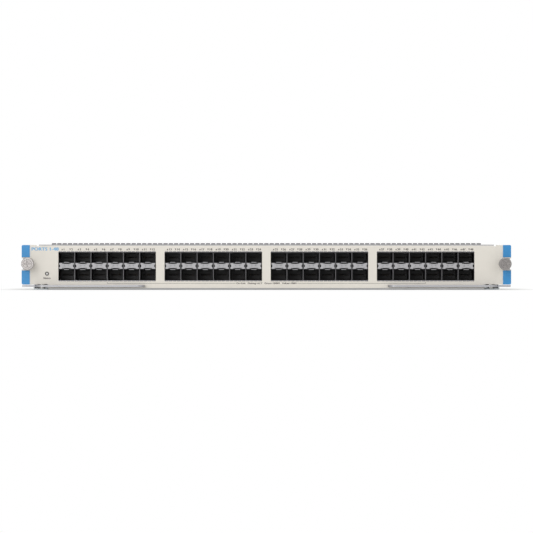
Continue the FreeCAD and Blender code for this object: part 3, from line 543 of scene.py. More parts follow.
@dataclass
class Sculpture:
    """A piece under construction: patches of points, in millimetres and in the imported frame's axes."""

    name: str
    points: list[Array] = field(default_factory=list)
    faces: list[Array] = field(default_factory=list)
    count: int = 0
    weld: float = 1e-7
    crease: float = 32.0

    def add(self, points: Array, faces: Array) -> None:
        """Add a patch.

        Args:
            points: Places of its corners, the last axis being X, Y and Z.
            faces: Corner numbers of its faces, from zero.
        """
        flat = np.asarray(points, float).reshape(-1, 3)
        self.points.append(flat)
        self.faces.append(np.asarray(faces) + self.count)
        self.count += len(flat)

    def copies(self, points: Array, faces: Array, places: Array) -> None:
        """Add the same patch at many places, as one array sum.

        Args:
            points: Places of the patch's corners.
            faces: Corner numbers of its faces.
            places: How far each copy is moved.
        """
        places = np.asarray(places, float).reshape(-1, 1, 3)
        base = np.asarray(points, float).reshape(1, -1, 3)
        steps = np.arange(len(places)).reshape(-1, 1, 1) * base.shape[1]
        self.add(base + places, (np.asarray(faces)[None] + steps).reshape(-1, faces.shape[1]))

    def boxes(self, low: Array, high: Array) -> None:
        """Add blocks; each of their corners is low + (high - low) times zero or one on each axis.

        Args:
            low: Lowest corner of each block.
            high: Highest corner of each block.
        """
        low, high = np.broadcast_arrays(np.asarray(low, float), np.asarray(high, float))
        low, high = low.reshape(-1, 1, 3), high.reshape(-1, 1, 3)
        share = np.array([[x, y, z] for x in (0, 1) for y in (0, 1) for z in (0, 1)], float)
        sides = np.array([[0, 1, 3, 2], [4, 6, 7, 5], [0, 4, 5, 1], [2, 3, 7, 6], [0, 2, 6, 4],
                          [1, 5, 7, 3]])
        steps = np.arange(len(low)).reshape(-1, 1, 1) * 8
        self.add(low + (high - low) * share, (sides[None] + steps).reshape(-1, 4))

    def turned(self, profile: Array, centre: Sequence[float], steps: int = 48,
               upright: bool = False) -> None:
        """Add a surface turned about a line along Y, or an upright one, through a centre.

        Point (i, j) lies at radius r_i, depth y_i and angle 2 pi j / steps.

        Args:
            profile: Rows of radius and depth, or height where it is upright.
            centre: X and Z of the line, or X and Y where it is upright.
            steps: Points round the circle.
            upright: Turn about a vertical line.
        """
        profile = np.asarray(profile, float)
        angle = np.linspace(0, 2 * np.pi, steps, endpoint=False)
        x = centre[0] + profile[:, :1] * np.cos(angle)
        z = centre[1] + profile[:, :1] * np.sin(angle)
        y = np.repeat(profile[:, 1:], steps, axis=1)
        grid = np.stack([x, z, y] if upright else [x, y, z], axis=-1)
        self.add(grid, quads(len(profile), steps, wrap_columns=True))

    def finish(self, finishes: Finishes, look: str, slot: str = "", body: str = "card",
               flat: bool = False, bevel: float = 0.0, replaces: Sequence[str] = ()) -> bpy.types.Object:
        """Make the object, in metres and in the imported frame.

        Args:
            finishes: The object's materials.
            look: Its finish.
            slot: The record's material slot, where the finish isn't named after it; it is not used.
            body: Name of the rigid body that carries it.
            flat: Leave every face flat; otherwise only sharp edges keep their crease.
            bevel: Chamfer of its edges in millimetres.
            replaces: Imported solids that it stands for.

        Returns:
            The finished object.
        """
        points = np.vstack(self.points)
        faces = [row.tolist() for patch in self.faces for row in patch]
        mesh = bpy.data.meshes.new(self.name)
        mesh.from_pydata((points * MM).tolist(), [], faces)
        shape = bmesh.new()
        shape.from_mesh(mesh)
        bmesh.ops.remove_doubles(shape, verts=shape.verts, dist=self.weld)
        if bevel:
            sharp = [e for e in shape.edges if len(e.link_faces) == 2 and e.calc_face_angle() > 0.5]
            bmesh.ops.bevel(shape, geom=sharp, offset=bevel * MM, segments=1, affect="EDGES")
        bmesh.ops.recalc_face_normals(shape, faces=shape.faces)
        shape.to_mesh(mesh)
        shape.free()
        if not flat:
            mesh.shade_smooth()
            mesh.set_sharp_from_angle(angle=math.radians(self.crease))
        mesh.materials.append(finishes.get(look))
        piece = bpy.data.objects.new(self.name, mesh)
        bpy.context.scene.collection.objects.link(piece)
        slot = slot or look
        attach(piece, body)
        if replaces:
            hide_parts(*replaces)
        return piece


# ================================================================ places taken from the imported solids
@dataclass(frozen=True)
class Box:
    """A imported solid's box in millimetres."""

    low: Array
    high: Array

    @classmethod
    def of(cls, node: str) -> "Box":
        """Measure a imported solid."""
        low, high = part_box(node)
        return cls(np.array(low) / MM, np.array(high) / MM)

    @classmethod
    def each(cls, node: str) -> list["Box"]:
        """Measure every solid of a node, taking corners that share a triangle as one solid.

        Each corner starts with its own number and takes the lowest in its triangles until none
        changes.

        Args:
            node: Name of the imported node.

        Returns:
            One box for each solid.
        """
        mesh = bpy.data.objects[node].data
        points, faces = np.empty(3 * len(mesh.vertices)), np.empty(3 * len(mesh.polygons), int)
        mesh.vertices.foreach_get("co", points)
        mesh.polygons.foreach_get("vertices", faces)
        places = (points.reshape(-1, 3) / MM).round(3)
        corners, index = np.unique(places, axis=0, return_inverse=True)
        faces = index.reshape(-1)[faces].reshape(-1, 3)
        group, before = np.arange(len(corners)), None
        while before is None or (group != before).any():
            before = group.copy()
            np.minimum.at(group, faces.ravel(), np.repeat(group[faces].min(axis=1), 3))
        return [cls(corners[group == g].min(axis=0), corners[group == g].max(axis=0))
                for g in np.unique(group)]

    @property
    def centre(self) -> Array:
        """Middle of the box."""
        return (self.low + self.high) / 2

    @property
    def size(self) -> Array:
        """Lengths of its sides."""
        return self.high - self.low


def smooth(value: Array, low: float, high: float) -> Array:
    """Zero below low, one above high and a soft step between."""
    share = np.clip((value - low) / (high - low), 0.0, 1.0)
    return share * share * (3 - 2 * share)


def plate(rings: Sequence[Outline]) -> tuple[Array, Array]:
    """Fill an outline, less the holes in it, with triangles.

    Args:
        rings: The outline and then its holes, each a list of (x, z).

    Returns:
        Points with Y = 0, and the corner numbers of the triangles.
    """
    shape = bmesh.new()
    for ring in rings:
        verts = [shape.verts.new((x, 0.0, z)) for x, z in ring]
        for i, vert in enumerate(verts):
            shape.edges.new((verts[i - 1], vert))
    bmesh.ops.triangle_fill(shape, edges=shape.edges[:], use_beauty=True)
    shape.verts.index_update()
    points = np.array([vert.co[:] for vert in shape.verts])
    faces = np.array([[vert.index for vert in face.verts] for face in shape.faces])
    shape.free()
    return points, faces


def slab(rings: Sequence[Outline], front: float, rear: float) -> tuple[Array, Array]:
    """A plate with thickness: its two faces, and a wall along every ring.

    Args:
        rings: The outline and then its holes, each a list of (x, z).
        front: Y of the front face.
        rear: Y of the rear face.

    Returns:
        Points and triangles.
    """
    points, faces = plate(rings)
    layers, corners = [points + (0, front, 0), points + (0, rear, 0)], [faces, faces + len(points)]
    start = 2 * len(points)
    for ring in rings:
        line = np.array([(x, 0.0, z) for x, z in ring])
        layers += [line + (0, front, 0), line + (0, rear, 0)]
        square = quads(2, len(line), wrap_columns=True) + start
        corners += [square[:, [0, 1, 2]], square[:, [0, 2, 3]]]
        start += 2 * len(line)
    return np.vstack(layers), np.vstack(corners)


# ================================================================ captive thumbscrews
@dataclass
class Thumbscrew:
    """Knurled knob, cross-recessed screw and compression spring on one side of the card."""

    side: str
    finishes: Finishes
    recess_turn: float = 0.0
    teeth: int = 34
    knurl: float = 0.28
    chamfer: float = 0.35
    recess_width: float = 0.95
    recess_length: float = 5.3
    recess_depth: float = 0.85
    thread_pitch: float = 0.7
    thread_depth: float = 0.38
    wire: float = 0.28
    turns: float = 6.0
    front_band: float = 0.9
    rear_band: float = 0.7
    band_step: float = 0.04
    knurl_flank: float = 0.6
    knurl_rows: int = 44
    bore_edge: float = 0.18
    head_edge: float = 0.12
    head_thickness: float = 1.2
    head_rings: int = 64
    around: int = 240
    recess_slope: tuple[float, float] = (-0.16, 0.06)
    neck: float = 1.5
    thread: float = 2.0
    thread_clear: float = 1.55
    thread_rows: int = 14
    run_in: float = 0.5
    run_out: float = 0.7
    coil_gap: float = 0.15
    coil_steps: int = 320
    wire_steps: int = 10
    closing: float = 0.65
    travel: float = 4.0

    def knob(self) -> None:
        """Sleeve with a diamond knurl.

        At angle a and depth y the radius is R - knurl (1 - k), where k is the smaller of
        |sin(teeth a / 2 + w y)| and |sin(teeth a / 2 - w y)|, raised to the height of the diamonds; the
        two ends stay plain.
        """
        box, head = Box.of(self.side + "_thumb_knob"), Box.of(self.side + "_captive_screw")
        outer, bore = box.size[0] / 2, head.size[0] / 2
        steps, step = self.teeth * 8, self.band_step
        angle = np.linspace(0, 2 * np.pi, steps, endpoint=False)[None]
        first, last = box.low[1] + self.front_band, box.high[1] - self.rear_band
        y = np.linspace(first, last, self.knurl_rows)[:, None]
        wave = self.teeth / (2 * outer)
        left = np.abs(np.sin(self.teeth * angle / 2 + wave * y))
        right = np.abs(np.sin(self.teeth * angle / 2 - wave * y))
        raised = smooth(np.minimum(left, right), 0.0, self.knurl_flank)
        radius = outer - self.knurl * (1 - raised)
        plain = np.array([(bore, box.high[1]), (outer - self.chamfer, box.high[1]),
                          (outer, box.high[1] - self.chamfer), (outer, last + 2 * step),
                          (outer - self.knurl, last + step)])
        front = np.array([(outer - self.knurl, first - step), (outer, first - 2 * step),
                          (outer, box.low[1] + self.chamfer), (outer - self.chamfer, box.low[1]),
                          (bore + self.bore_edge, box.low[1]), (bore, box.low[1] + self.bore_edge)])
        radii = np.vstack([np.repeat(plain[:, :1], steps, 1), radius[::-1],
                           np.repeat(front[:, :1], steps, 1)])
        depth = np.vstack([plain[:, 1:], y[::-1], front[:, 1:]])
        grid = np.stack([box.centre[0] + radii * np.cos(angle), np.repeat(depth, steps, 1),
                         box.centre[2] + radii * np.sin(angle)], axis=-1)
        knob = Sculpture(self.side + "_knurled_knob")
        knob.add(grid, quads(len(radii), steps, wrap_rows=True, wrap_columns=True))
        knob.finish(self.finishes, "knob_metal", body=self.side + "_thumbscrew",
                    replaces=[self.side + "_thumb_knob"])

    def screw(self) -> None:
        """Head with a cross recess, thin neck and a cut thread.

        The head's face lies at depth D s, where s falls from one inside the cross to zero outside
        it over a short slope.  The thread's radius follows a triangle wave of y / pitch - a / (2 pi).
        """
        box, collar = Box.of(self.side + "_captive_screw"), Box.of("ear_brackets")
        head, centre = box.size[0] / 2, (box.centre[0], box.centre[2])
        shape = Sculpture(self.side + "_recessed_screw")
        edge, root = self.head_edge, self.thread - self.thread_depth
        angle = np.linspace(0, 2 * np.pi, self.around, endpoint=False)[None]
        radius = np.linspace(0.02, head - edge, self.head_rings)[:, None]
        x, z = radius * np.cos(angle), radius * np.sin(angle)
        wide, long = self.recess_width / 2, self.recess_length / 2
        turn = np.radians(self.recess_turn)
        across, along = x * np.cos(turn) + z * np.sin(turn), z * np.cos(turn) - x * np.sin(turn)
        upright = np.maximum(np.abs(across) - wide, np.abs(along) - long)
        level = np.maximum(np.abs(along) - wide, np.abs(across) - long)
        inside = 1 - smooth(np.minimum(upright, level), *self.recess_slope)
        y = box.low[1] + self.recess_depth * inside
        shape.add(np.stack([centre[0] + x, y, centre[1] + z], axis=-1),
                  quads(self.head_rings, self.around, wrap_columns=True))
        shoulder, end = box.low[1] + self.head_thickness, box.high[1]
        start = collar.low[1] + self.thread_clear
        shape.turned([(head - edge, box.low[1]), (head, box.low[1] + edge), (head, shoulder),
                      (self.neck, shoulder), (self.neck, start), (root, start)], centre, self.head_rings)
        rows = int((end - start) / (self.thread_pitch / self.thread_rows))
        y, angle = np.linspace(start, end, rows)[:, None], angle[:, ::4]
        turn = y / self.thread_pitch - angle / (2 * np.pi)
        wave = np.abs(2 * (turn - np.floor(turn)) - 1)
        ends = smooth(y, start, start + self.run_in) * (1 - smooth(y, end - self.run_out, end))
        radius = self.thread - self.thread_depth * (1 - wave * ends)
        steps = self.around // 4
        grid = np.stack([centre[0] + radius * np.cos(angle), np.repeat(y, steps, 1),
                         centre[1] + radius * np.sin(angle)], axis=-1)
        shape.add(grid, quads(rows, steps, wrap_columns=True))
        shape.turned([(root, end), (0.01, end)], centre, steps)
        shape.finish(self.finishes, "knob_metal", body=self.side + "_thumbscrew",
                     replaces=[self.side + "_captive_screw"])

    def spring(self) -> None:
        """Round wire wound with closed ends.

        The wire's centre runs at y = front + L s(t), where s is a soft step, so the end turns lie
        close.
        """
        box = Box.of(self.side + "_screw_spring")
        radius = box.size[0] / 2 - self.wire - self.coil_gap
        share = np.linspace(0, 1, self.coil_steps)[:, None]
        angle = 2 * np.pi * self.turns * share
        depth = (1 - self.closing) * share + self.closing * smooth(share, 0.08, 0.92)
        y = box.low[1] + self.wire + (box.size[1] - 2 * self.wire) * depth
        ring = np.linspace(0, 2 * np.pi, self.wire_steps, endpoint=False)[None]
        out = radius + self.wire * np.cos(ring)
        grid = np.stack([box.centre[0] + out * np.cos(angle), y + self.wire * np.sin(ring),
                         box.centre[2] + out * np.sin(angle)], axis=-1)
        shape = Sculpture(self.side + "_wound_spring")
        shape.add(grid, quads(self.coil_steps, self.wire_steps, wrap_columns=True))
        for end in (grid[0], grid[-1]):
            shape.add(end, np.arange(self.wire_steps)[None])
        piece = shape.finish(self.finishes, "spring_strip", body=self.side + "_thrust",
                             replaces=[self.side + "_screw_spring"])
        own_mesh(piece)

    def build(self) -> None:
        """Build the three pieces."""
        self.knob()
        self.screw()
        self.spring()


# ================================================================ gasket strip and window gaskets
@dataclass
class GasketStrip:
    """Row of curved spring fingers along the top flange."""

    finishes: Finishes
    hem: float = 1.5
    sheet: float = 0.22
    finger_pitch: float = 4.66
    gap: float = 0.9
    sections: int = 15
    curl: float = 0.62

    def build(self) -> None:
        """A finger climbs from its hem along a half sine and ends past the top, where it turns down.

        Its height at share t of its length is H sin(pi curl t).
        """
        box = Box.of("top_gasket_strip")
        count = round((box.size[0] + self.gap) / self.finger_pitch)
        pitch = (box.size[0] + self.gap) / count
        share = np.linspace(0, 1, self.sections)
        y = box.low[1] + self.hem + (box.size[1] - self.hem) * share
        rise = (box.size[2] - self.sheet) * np.sin(np.pi * self.curl * share)
        low = np.stack([np.zeros(self.sections), y, box.low[2] + rise], axis=-1)
        step = np.array([pitch - self.gap, 0, 0])
        up = np.array([0, 0, self.sheet])
        finger = np.stack([low, low + step, low + step + up, low + up], axis=1)
        shape = Sculpture("curved_gasket_strip")
        starts = np.zeros((count, 3))
        starts[:, 0] = box.low[0] + pitch * np.arange(count)
        shape.copies(finger, bar_faces(self.sections), starts)
        shape.boxes([box.low], [(box.high[0], box.low[1] + self.hem, box.low[2] + self.sheet)])
        # The strip's dark colour is painted shade on tin plate.
        shape.finish(self.finishes, "finger_strip", "spring_strip", replaces=["top_gasket_strip"])


@dataclass
class PortFronts:
    """One group of ports: spacers with latch tabs, connectors and the fingers round the window."""

    number: int
    finishes: Finishes
    columns: int = 6
    pitch: float = 14.25
    tab: float = 4.4
    tab_rise: float = 0.8
    tab_front: float = 0.8
    tab_root: float = 2.6
    notch: float = 7.5
    notch_depth: float = 0.85
    side_notch: float = 0.75
    sheet: float = 0.4
    tower: float = 6.0
    nose_inset: float = 1.4
    wall: float = 6.8
    slot_width: float = 9.4
    slot_height: float = 1.3
    slot_depth: float = 8.0
    light_offset: float = 1.75
    light: float = 0.85
    fingers: int = 4
    side_mouth: float = 1.3
    side_floor: float = 0.9
    pipe_drop: float = 0.65
    pipe_clear: float = 0.2
    bend: int = 9
    finger_stand: float = 0.28
    finger_clear: float = 0.02
    finger_reach: float = 2.6
    finger_rise: float = 0.45
    finger_drop: float = 0.75
    finger_tail: float = 0.05
    finger_share: float = 0.84
    finger_sheet: float = 0.12
    lower_window: float = 10.3
    wall_clear: float = 0.05
    contacts: int = 10
    contact_pitch: float = 0.8
    contact_inset: float = 0.1
    contact_half: tuple[float, float] = (0.19, 0.12)
    contact_start: float = 2.6
    contact_end: float = 0.4

    def spacer_outline(self, half: float, low: float, high: float) -> Outline:
        """Face of a spacer: notched above, below and at both sides.

        Args:
            half: Half of its width.
            low: Height of its lower edge.
            high: Height of its upper edge.

        Returns:
            Its outline as (x, z) about the middle of its column.
        """
        wide, deep, side, middle = self.notch / 2, self.notch_depth, self.side_notch, (low + high) / 2
        mouth, floor = self.side_mouth, self.side_floor
        right = [(wide, low + deep), (wide, low), (half, low), (half, middle - mouth),
                 (half - side, middle - floor), (half - side, middle + floor), (half, middle + mouth),
                 (half, high), (wide, high), (wide, high - deep)]
        return right + [(-x, z) for x, z in reversed(right)]

    def spacers(self) -> None:
        """Notched face, two sheets behind it and a sloped latch tab on each sheet."""
        node = f"port_spacers_{self.number}"
        box = Box.of(node)
        half = (box.size[0] - (self.columns - 1) * self.pitch) / 2
        low, high, front = box.low[2] + self.tab_rise, box.high[2] - self.tab_rise, box.low[1]
        size, z = self.light, Box.of(f"light_guides_{self.number}").high[2] - self.pipe_drop
        windows = []
        for sign in (-1, 1):
            x = sign * self.light_offset
            windows.append([(x - size, z + sign * size * 0.8), (x + size, z + sign * size * 0.8),
                            (x, z - sign * size * 0.8)])
        points, faces = slab([self.spacer_outline(half, low, high), *windows], front, front + self.sheet)
        middles = along_x(self.columns, self.pitch, box.centre[0])
        shape = Sculpture(f"notched_spacers_{self.number}")
        shape.copies(points, faces, middles)
        t, wide, back = self.sheet, self.notch / 2, front + self.tab_root
        for x0, x1, y0 in ((-half, half, back), (-half, -wide, front + t), (wide, half, front + t)):
            rear = box.high[1] if y0 == back else back
            for z0 in (low, high - t):
                shape.boxes(middles + (x0, y0, z0), middles + (x1, rear, z0 + t))
        for edge, sign in ((high, 1), (low, -1)):
            tip, rise = front + self.tab_front, edge + sign * self.tab_rise
            slope = [(back, edge - sign * t), (back, edge), (tip, rise), (tip, rise - sign * t)]
            tab = np.array([(x, y, z) for x in (-self.tab / 2, self.tab / 2) for y, z in slope])
            shape.copies(tab, bar_faces(2), middles)
        shape.finish(self.finishes, "spacer_sheet", replaces=[node])

    def window_gasket(self) -> None:
        """Spring fingers that wrap the upper and lower edge of the window.

        In side view a finger runs over the edge as a quarter of an ellipse and on into the port.
        """
        cage, face = Box.of(f"port_cage_{self.number}"), Box.of("front_panel").low[1]
        spacers = Box.of(f"port_spacers_{self.number}")
        width = self.pitch / self.fingers
        angle = np.linspace(0, np.pi / 2, self.bend)
        out = np.concatenate([face - self.finger_stand * np.cos(angle) - self.finger_clear,
                              [face + self.finger_reach]])
        shape = Sculpture(f"window_gasket_{self.number}")
        places = along_x(self.columns * self.fingers, width, cage.centre[0])
        top = cage.high[2] - self.sheet
        bottom = spacers.low[2] + self.tab_rise - self.lower_window
        for edge, sign in ((top, 1), (bottom, -1)):
            rise = np.concatenate([edge + sign * (self.finger_rise - self.finger_drop * np.sin(angle)),
                                   [edge - sign * self.finger_tail]])
            line = np.stack([np.full(len(out), -self.finger_share * width / 2), out, rise], axis=-1)
            other = line + (self.finger_share * width, 0, 0)
            inner = np.array([0, self.finger_sheet, sign * self.finger_sheet])
            grid = np.stack([line, other, other + inner, line + inner], axis=1)
            shape.copies(grid, bar_faces(len(out)), places)
        shape.finish(self.finishes, "spring_strip")

    def connectors(self) -> None:
        """Stacked connectors with an open card slot in each nose and two rows of gold contacts in it.

        Each is a row of slices across its width; a slice is an outline in (y, z) carried along X.
        """
        node = f"port_connectors_{self.number}"
        box, spacers = Box.of(node), Box.of(f"port_spacers_{self.number}")
        front, rear, base = box.low[1], box.high[1], box.low[2]
        tower, half = rear - self.tower, (box.size[0] - (self.columns - 1) * self.pitch) / 2
        noses = [(base + self.nose_inset, spacers.low[2] + self.tab_rise - self.nose_inset),
                 (spacers.high[2] - self.tab_rise + self.nose_inset, box.high[2])]
        columns = along_x(self.columns, self.pitch, box.centre[0])
        plastic = Sculpture(f"slotted_connectors_{self.number}")
        gold = Sculpture(f"port_contacts_{self.number}")
        slot, passage = self.slot_width / 2, self.light + self.pipe_clear
        way = self.light_offset + passage
        window = Box.of(f"light_guides_{self.number}").high[2] - self.pipe_drop
        for x0, x1, cut in ((-half, -slot, False), (-slot, slot, True), (slot, half, False)):
            ring = [(tower, base), (rear, base), (rear, noses[1][1])]
            for low, high in reversed(noses):
                middle, open_half = (low + high) / 2, self.slot_height / 2
                mouth = [(front, middle + open_half), (front + self.slot_depth, middle + open_half),
                         (front + self.slot_depth, middle - open_half), (front, middle - open_half)]
                ring += [(tower, high), (front, high), *(mouth if cut else []), (front, low),
                         (tower, low)]
            ring = [point for i, point in enumerate(ring) if point != ring[i - 1]]
            pieces = [(x0, x1, [ring])]
            if cut:
                gap = [[(y, min(z, window - passage)) for y, z in ring],
                       [(y, max(z, window + passage)) for y, z in ring]]
                pieces = [(x0, -way, [ring]), (way, x1, [ring])]
                pieces += [(-way, way, [self.trimmed(part)]) for part in gap]
            for start, end, rings in pieces:
                points, faces = slab(rings, start, end)
                plastic.copies(points[:, [1, 0, 2]], faces, columns)
        for x0, x1 in ((-self.wall, -half), (half, self.wall)):
            plastic.boxes(columns + (x0, tower, base),
                          columns + (x1, rear - self.wall_clear, noses[1][1]))
        across, (wide, thick) = along_x(self.contacts, self.contact_pitch), self.contact_half
        for low, high in noses:
            for sign in (-1, 1):
                z = (low + high) / 2 + sign * (self.slot_height / 2 - self.contact_inset)
                places = (columns[:, None] + across[None]).reshape(-1, 3) + (0, front, z)
                gold.boxes(places + (-wide, self.contact_start, -thick),
                           places + (wide, self.slot_depth - self.contact_end, thick))
        plastic.finish(self.finishes, "connector_plastic", flat=True,
                       replaces=[node])
        # The contacts deep in the slots are darkened with painted shade.
        gold.finish(self.finishes, "port_contact", "connector_plastic", flat=True)

    @staticmethod
    def trimmed(ring: Outline) -> Outline:
        """Drop repeated points and points in the middle of a straight run.

        Args:
            ring: An outline.

        Returns:
            The same outline with the fewest points.
        """
        ring = [point for i, point in enumerate(ring) if point != ring[i - 1]]
        kept = []
        for i, (y, z) in enumerate(ring):
            before, after = ring[i - 1], ring[(i + 1) % len(ring)]
            turn = (y - before[0]) * (after[1] - z) - (z - before[1]) * (after[0] - y)
            if abs(turn) > 1e-9:
                kept.append((y, z))
        return kept

    def build(self) -> None:
        """Build the group's pieces."""
        self.spacers()
        self.window_gasket()
        self.connectors()


# ================================================================ printing and status lamp
class Align(Enum):
    """Which end of a line of print its place gives."""

    START = "LEFT"
    MIDDLE = "CENTER"


@dataclass
class Printing:
    """Port numbers, direction marks, a legend line and two plain words on the panel's face."""

    finishes: Finishes
    columns: int = 6
    pitch: float = 14.25
    film: float = 0.03
    capital: float = 0.69
    mark: float = 1.4
    mark_gap: float = 0.25
    digit: float = 1.35
    digit_height: float = 1.75
    strike: float = 0.055
    strike_lift: float = 0.004
    number_rise: float = 0.95
    odd_place: float = 4.1
    even_place: float = 11.1
    rule_height: float = 5.4
    rule_thick: float = 0.22
    rule_reach: float = 139.6
    rule_gap: float = 27.0
    tick: float = 1.3
    number_stretch: float = 1.1
    legend_drop: float = 0.5
    legend_capital: float = 1.4
    legend_stretch: float = 1.11
    status_height: float = 9.4
    status_capital: float = 1.6
    status_stretch: float = 1.15
    name_place: tuple[float, float] = (-206.1, 34.3)
    name_capital: float = 2.75
    name_stretch: float = 1.18
    grey: Sculpture = field(default_factory=lambda: Sculpture("printed_marks"))
    blue: Sculpture = field(default_factory=lambda: Sculpture("printed_name"))

    def __post_init__(self) -> None:
        self.front = Box.of("front_panel").low[1] - self.film

    def text(self, target: Sculpture, words: str, x: float, z: float, height: float, align: Align,
             stretch: float = 1.0) -> None:
        """Print words on the panel's face, struck twice a little apart so that the strokes are bold.

        Args:
            target: The piece that collects the print.
            words: What is printed.
            x: Place of the start or middle of the line.
            z: Height of the foot of the letters.
            height: Height of a capital.
            align: Which end x is.
            stretch: Widening of the letters.
        """
        curve = bpy.data.curves.new("words", "FONT")
        curve.body, curve.align_x, curve.size = words, align.value, height / self.capital
        curve.resolution_u = 3
        holder = bpy.data.objects.new("words", curve)
        mesh = bpy.data.meshes.new_from_object(holder)
        points = np.array([vert.co[:] for vert in mesh.vertices]).reshape(-1, 3)
        faces = [list(face.vertices) for face in mesh.polygons]
        for shift, lift in ((-self.strike, 0.0), (self.strike, self.strike_lift)):
            across = x + stretch * points[:, 0] + shift * height
            placed = np.stack([across, np.full(len(points), self.front - lift), z + points[:, 1]], -1)
            for size in sorted({len(face) for face in faces}):
                target.add(placed, np.array([face for face in faces if len(face) == size]))
        bpy.data.objects.remove(holder)
        bpy.data.curves.remove(curve)
        bpy.data.meshes.remove(mesh)

    def triangle(self, x: float, z: float, half: float, sign: int) -> None:
        """Small mark that points up or down.

        Args:
            x: Place of its middle.
            z: Height of its middle.
            half: Half of its width and height.
            sign: One where it points up, minus one where it points down.
        """
        foot, tip = z - sign * half, z + sign * half
        points = np.array([(x - half, self.front, foot), (x + half, self.front, foot),
                           (x, self.front, tip)])
        self.grey.add(points, np.array([[0, 1, 2]]))

    def bar(self, x0: float, x1: float, z0: float, z1: float) -> None:
        """Printed line."""
        points = np.array([(x, self.front, z) for x, z in ((x0, z0), (x1, z0), (x1, z1), (x0, z1))])
        self.grey.add(points, np.array([[0, 1, 2, 3]]))

    def numbers(self) -> None:
        """An odd number for the upper port and an even one for the lower port of each column."""
        for group in range(1, 5):
            cage = Box.of(f"port_cage_{group}")
            base = cage.high[2] + self.number_rise
            for column in range(self.columns):
                left = cage.centre[0] + self.pitch * (column - self.columns / 2)
                upper = 2 * ((group - 1) * self.columns + column) + 1
                for number, middle, sign in ((upper, left + self.odd_place, 1),
                                             (upper + 1, left + self.even_place, -1)):
                    first = middle - (self.mark + self.mark_gap + self.digit * len(str(number))) / 2
                    self.triangle(first + self.mark / 2, base + self.digit_height / 2, self.mark / 2,
                                  sign)
                    self.text(self.grey, str(number), first + self.mark + self.mark_gap, base,
                              self.digit_height, Align.START, self.number_stretch)

    def legend(self) -> None:
        """Thin line under the ports with a tick at each end and what the lamps mean in its middle."""
        z, thick, reach, words = self.rule_height, self.rule_thick, self.rule_reach, self.rule_gap
        self.bar(-reach, -words, z, z + thick)
        self.bar(words, reach, z, z + thick)
        for x in (-reach, reach - thick):
            self.bar(x, x + thick, z, z + self.tick)
        self.text(self.grey, "On=Link   Flashing=ACT   Green=1000M   Yellow=100M", 0.0,
                  z - self.legend_drop, self.legend_capital, Align.MIDDLE, self.legend_stretch)

    def build(self) -> None:
        """Print everything, then join it into one piece for each ink."""
        self.numbers()
        self.legend()
        lamp = Box.of("status_light_pipe")
        self.text(self.grey, "Status", lamp.centre[0], self.status_height, self.status_capital,
                  Align.MIDDLE, self.status_stretch)
        self.text(self.blue, "PORTS 1-48", *self.name_place, self.name_capital, Align.START,
                  self.name_stretch)
        self.grey.finish(self.finishes, "grey_ink", "panel_coating", flat=True)
        self.blue.finish(self.finishes, "blue_ink", "end_band", flat=True)


@dataclass
class LampCollar:
    """Dark collar round the lens of the status lamp."""

    finishes: Finishes
    bore: float = 0.85
    proud: float = 0.45
    edge: float = 0.15
    chamfer: float = 0.1
    clear: float = 0.01

    def build(self) -> None:
        """A ring in front of the light pipe, just inside the panel's hole."""
        pipe, face = Box.of("status_light_pipe"), Box.of("front_panel").low[1]
        outer = pipe.size[0] / 2
        ring = Sculpture("status_lamp_collar")
        front, rear = face - self.proud, pipe.low[1] - self.clear
        wide = outer + self.edge
        ring.turned([(outer, rear), (wide, rear), (wide, front + self.chamfer), (outer, front),
                     (self.bore + self.edge, front), (self.bore, rear)],
                    (pipe.centre[0], pipe.high[2] - outer))
        ring.finish(self.finishes, "connector_plastic")


# ================================================================ small parts on the board
# A row of chip capacitors: start x, start y, end x, end y, and whether its parts lie along X.
Row = tuple[float, float, float, float, bool]


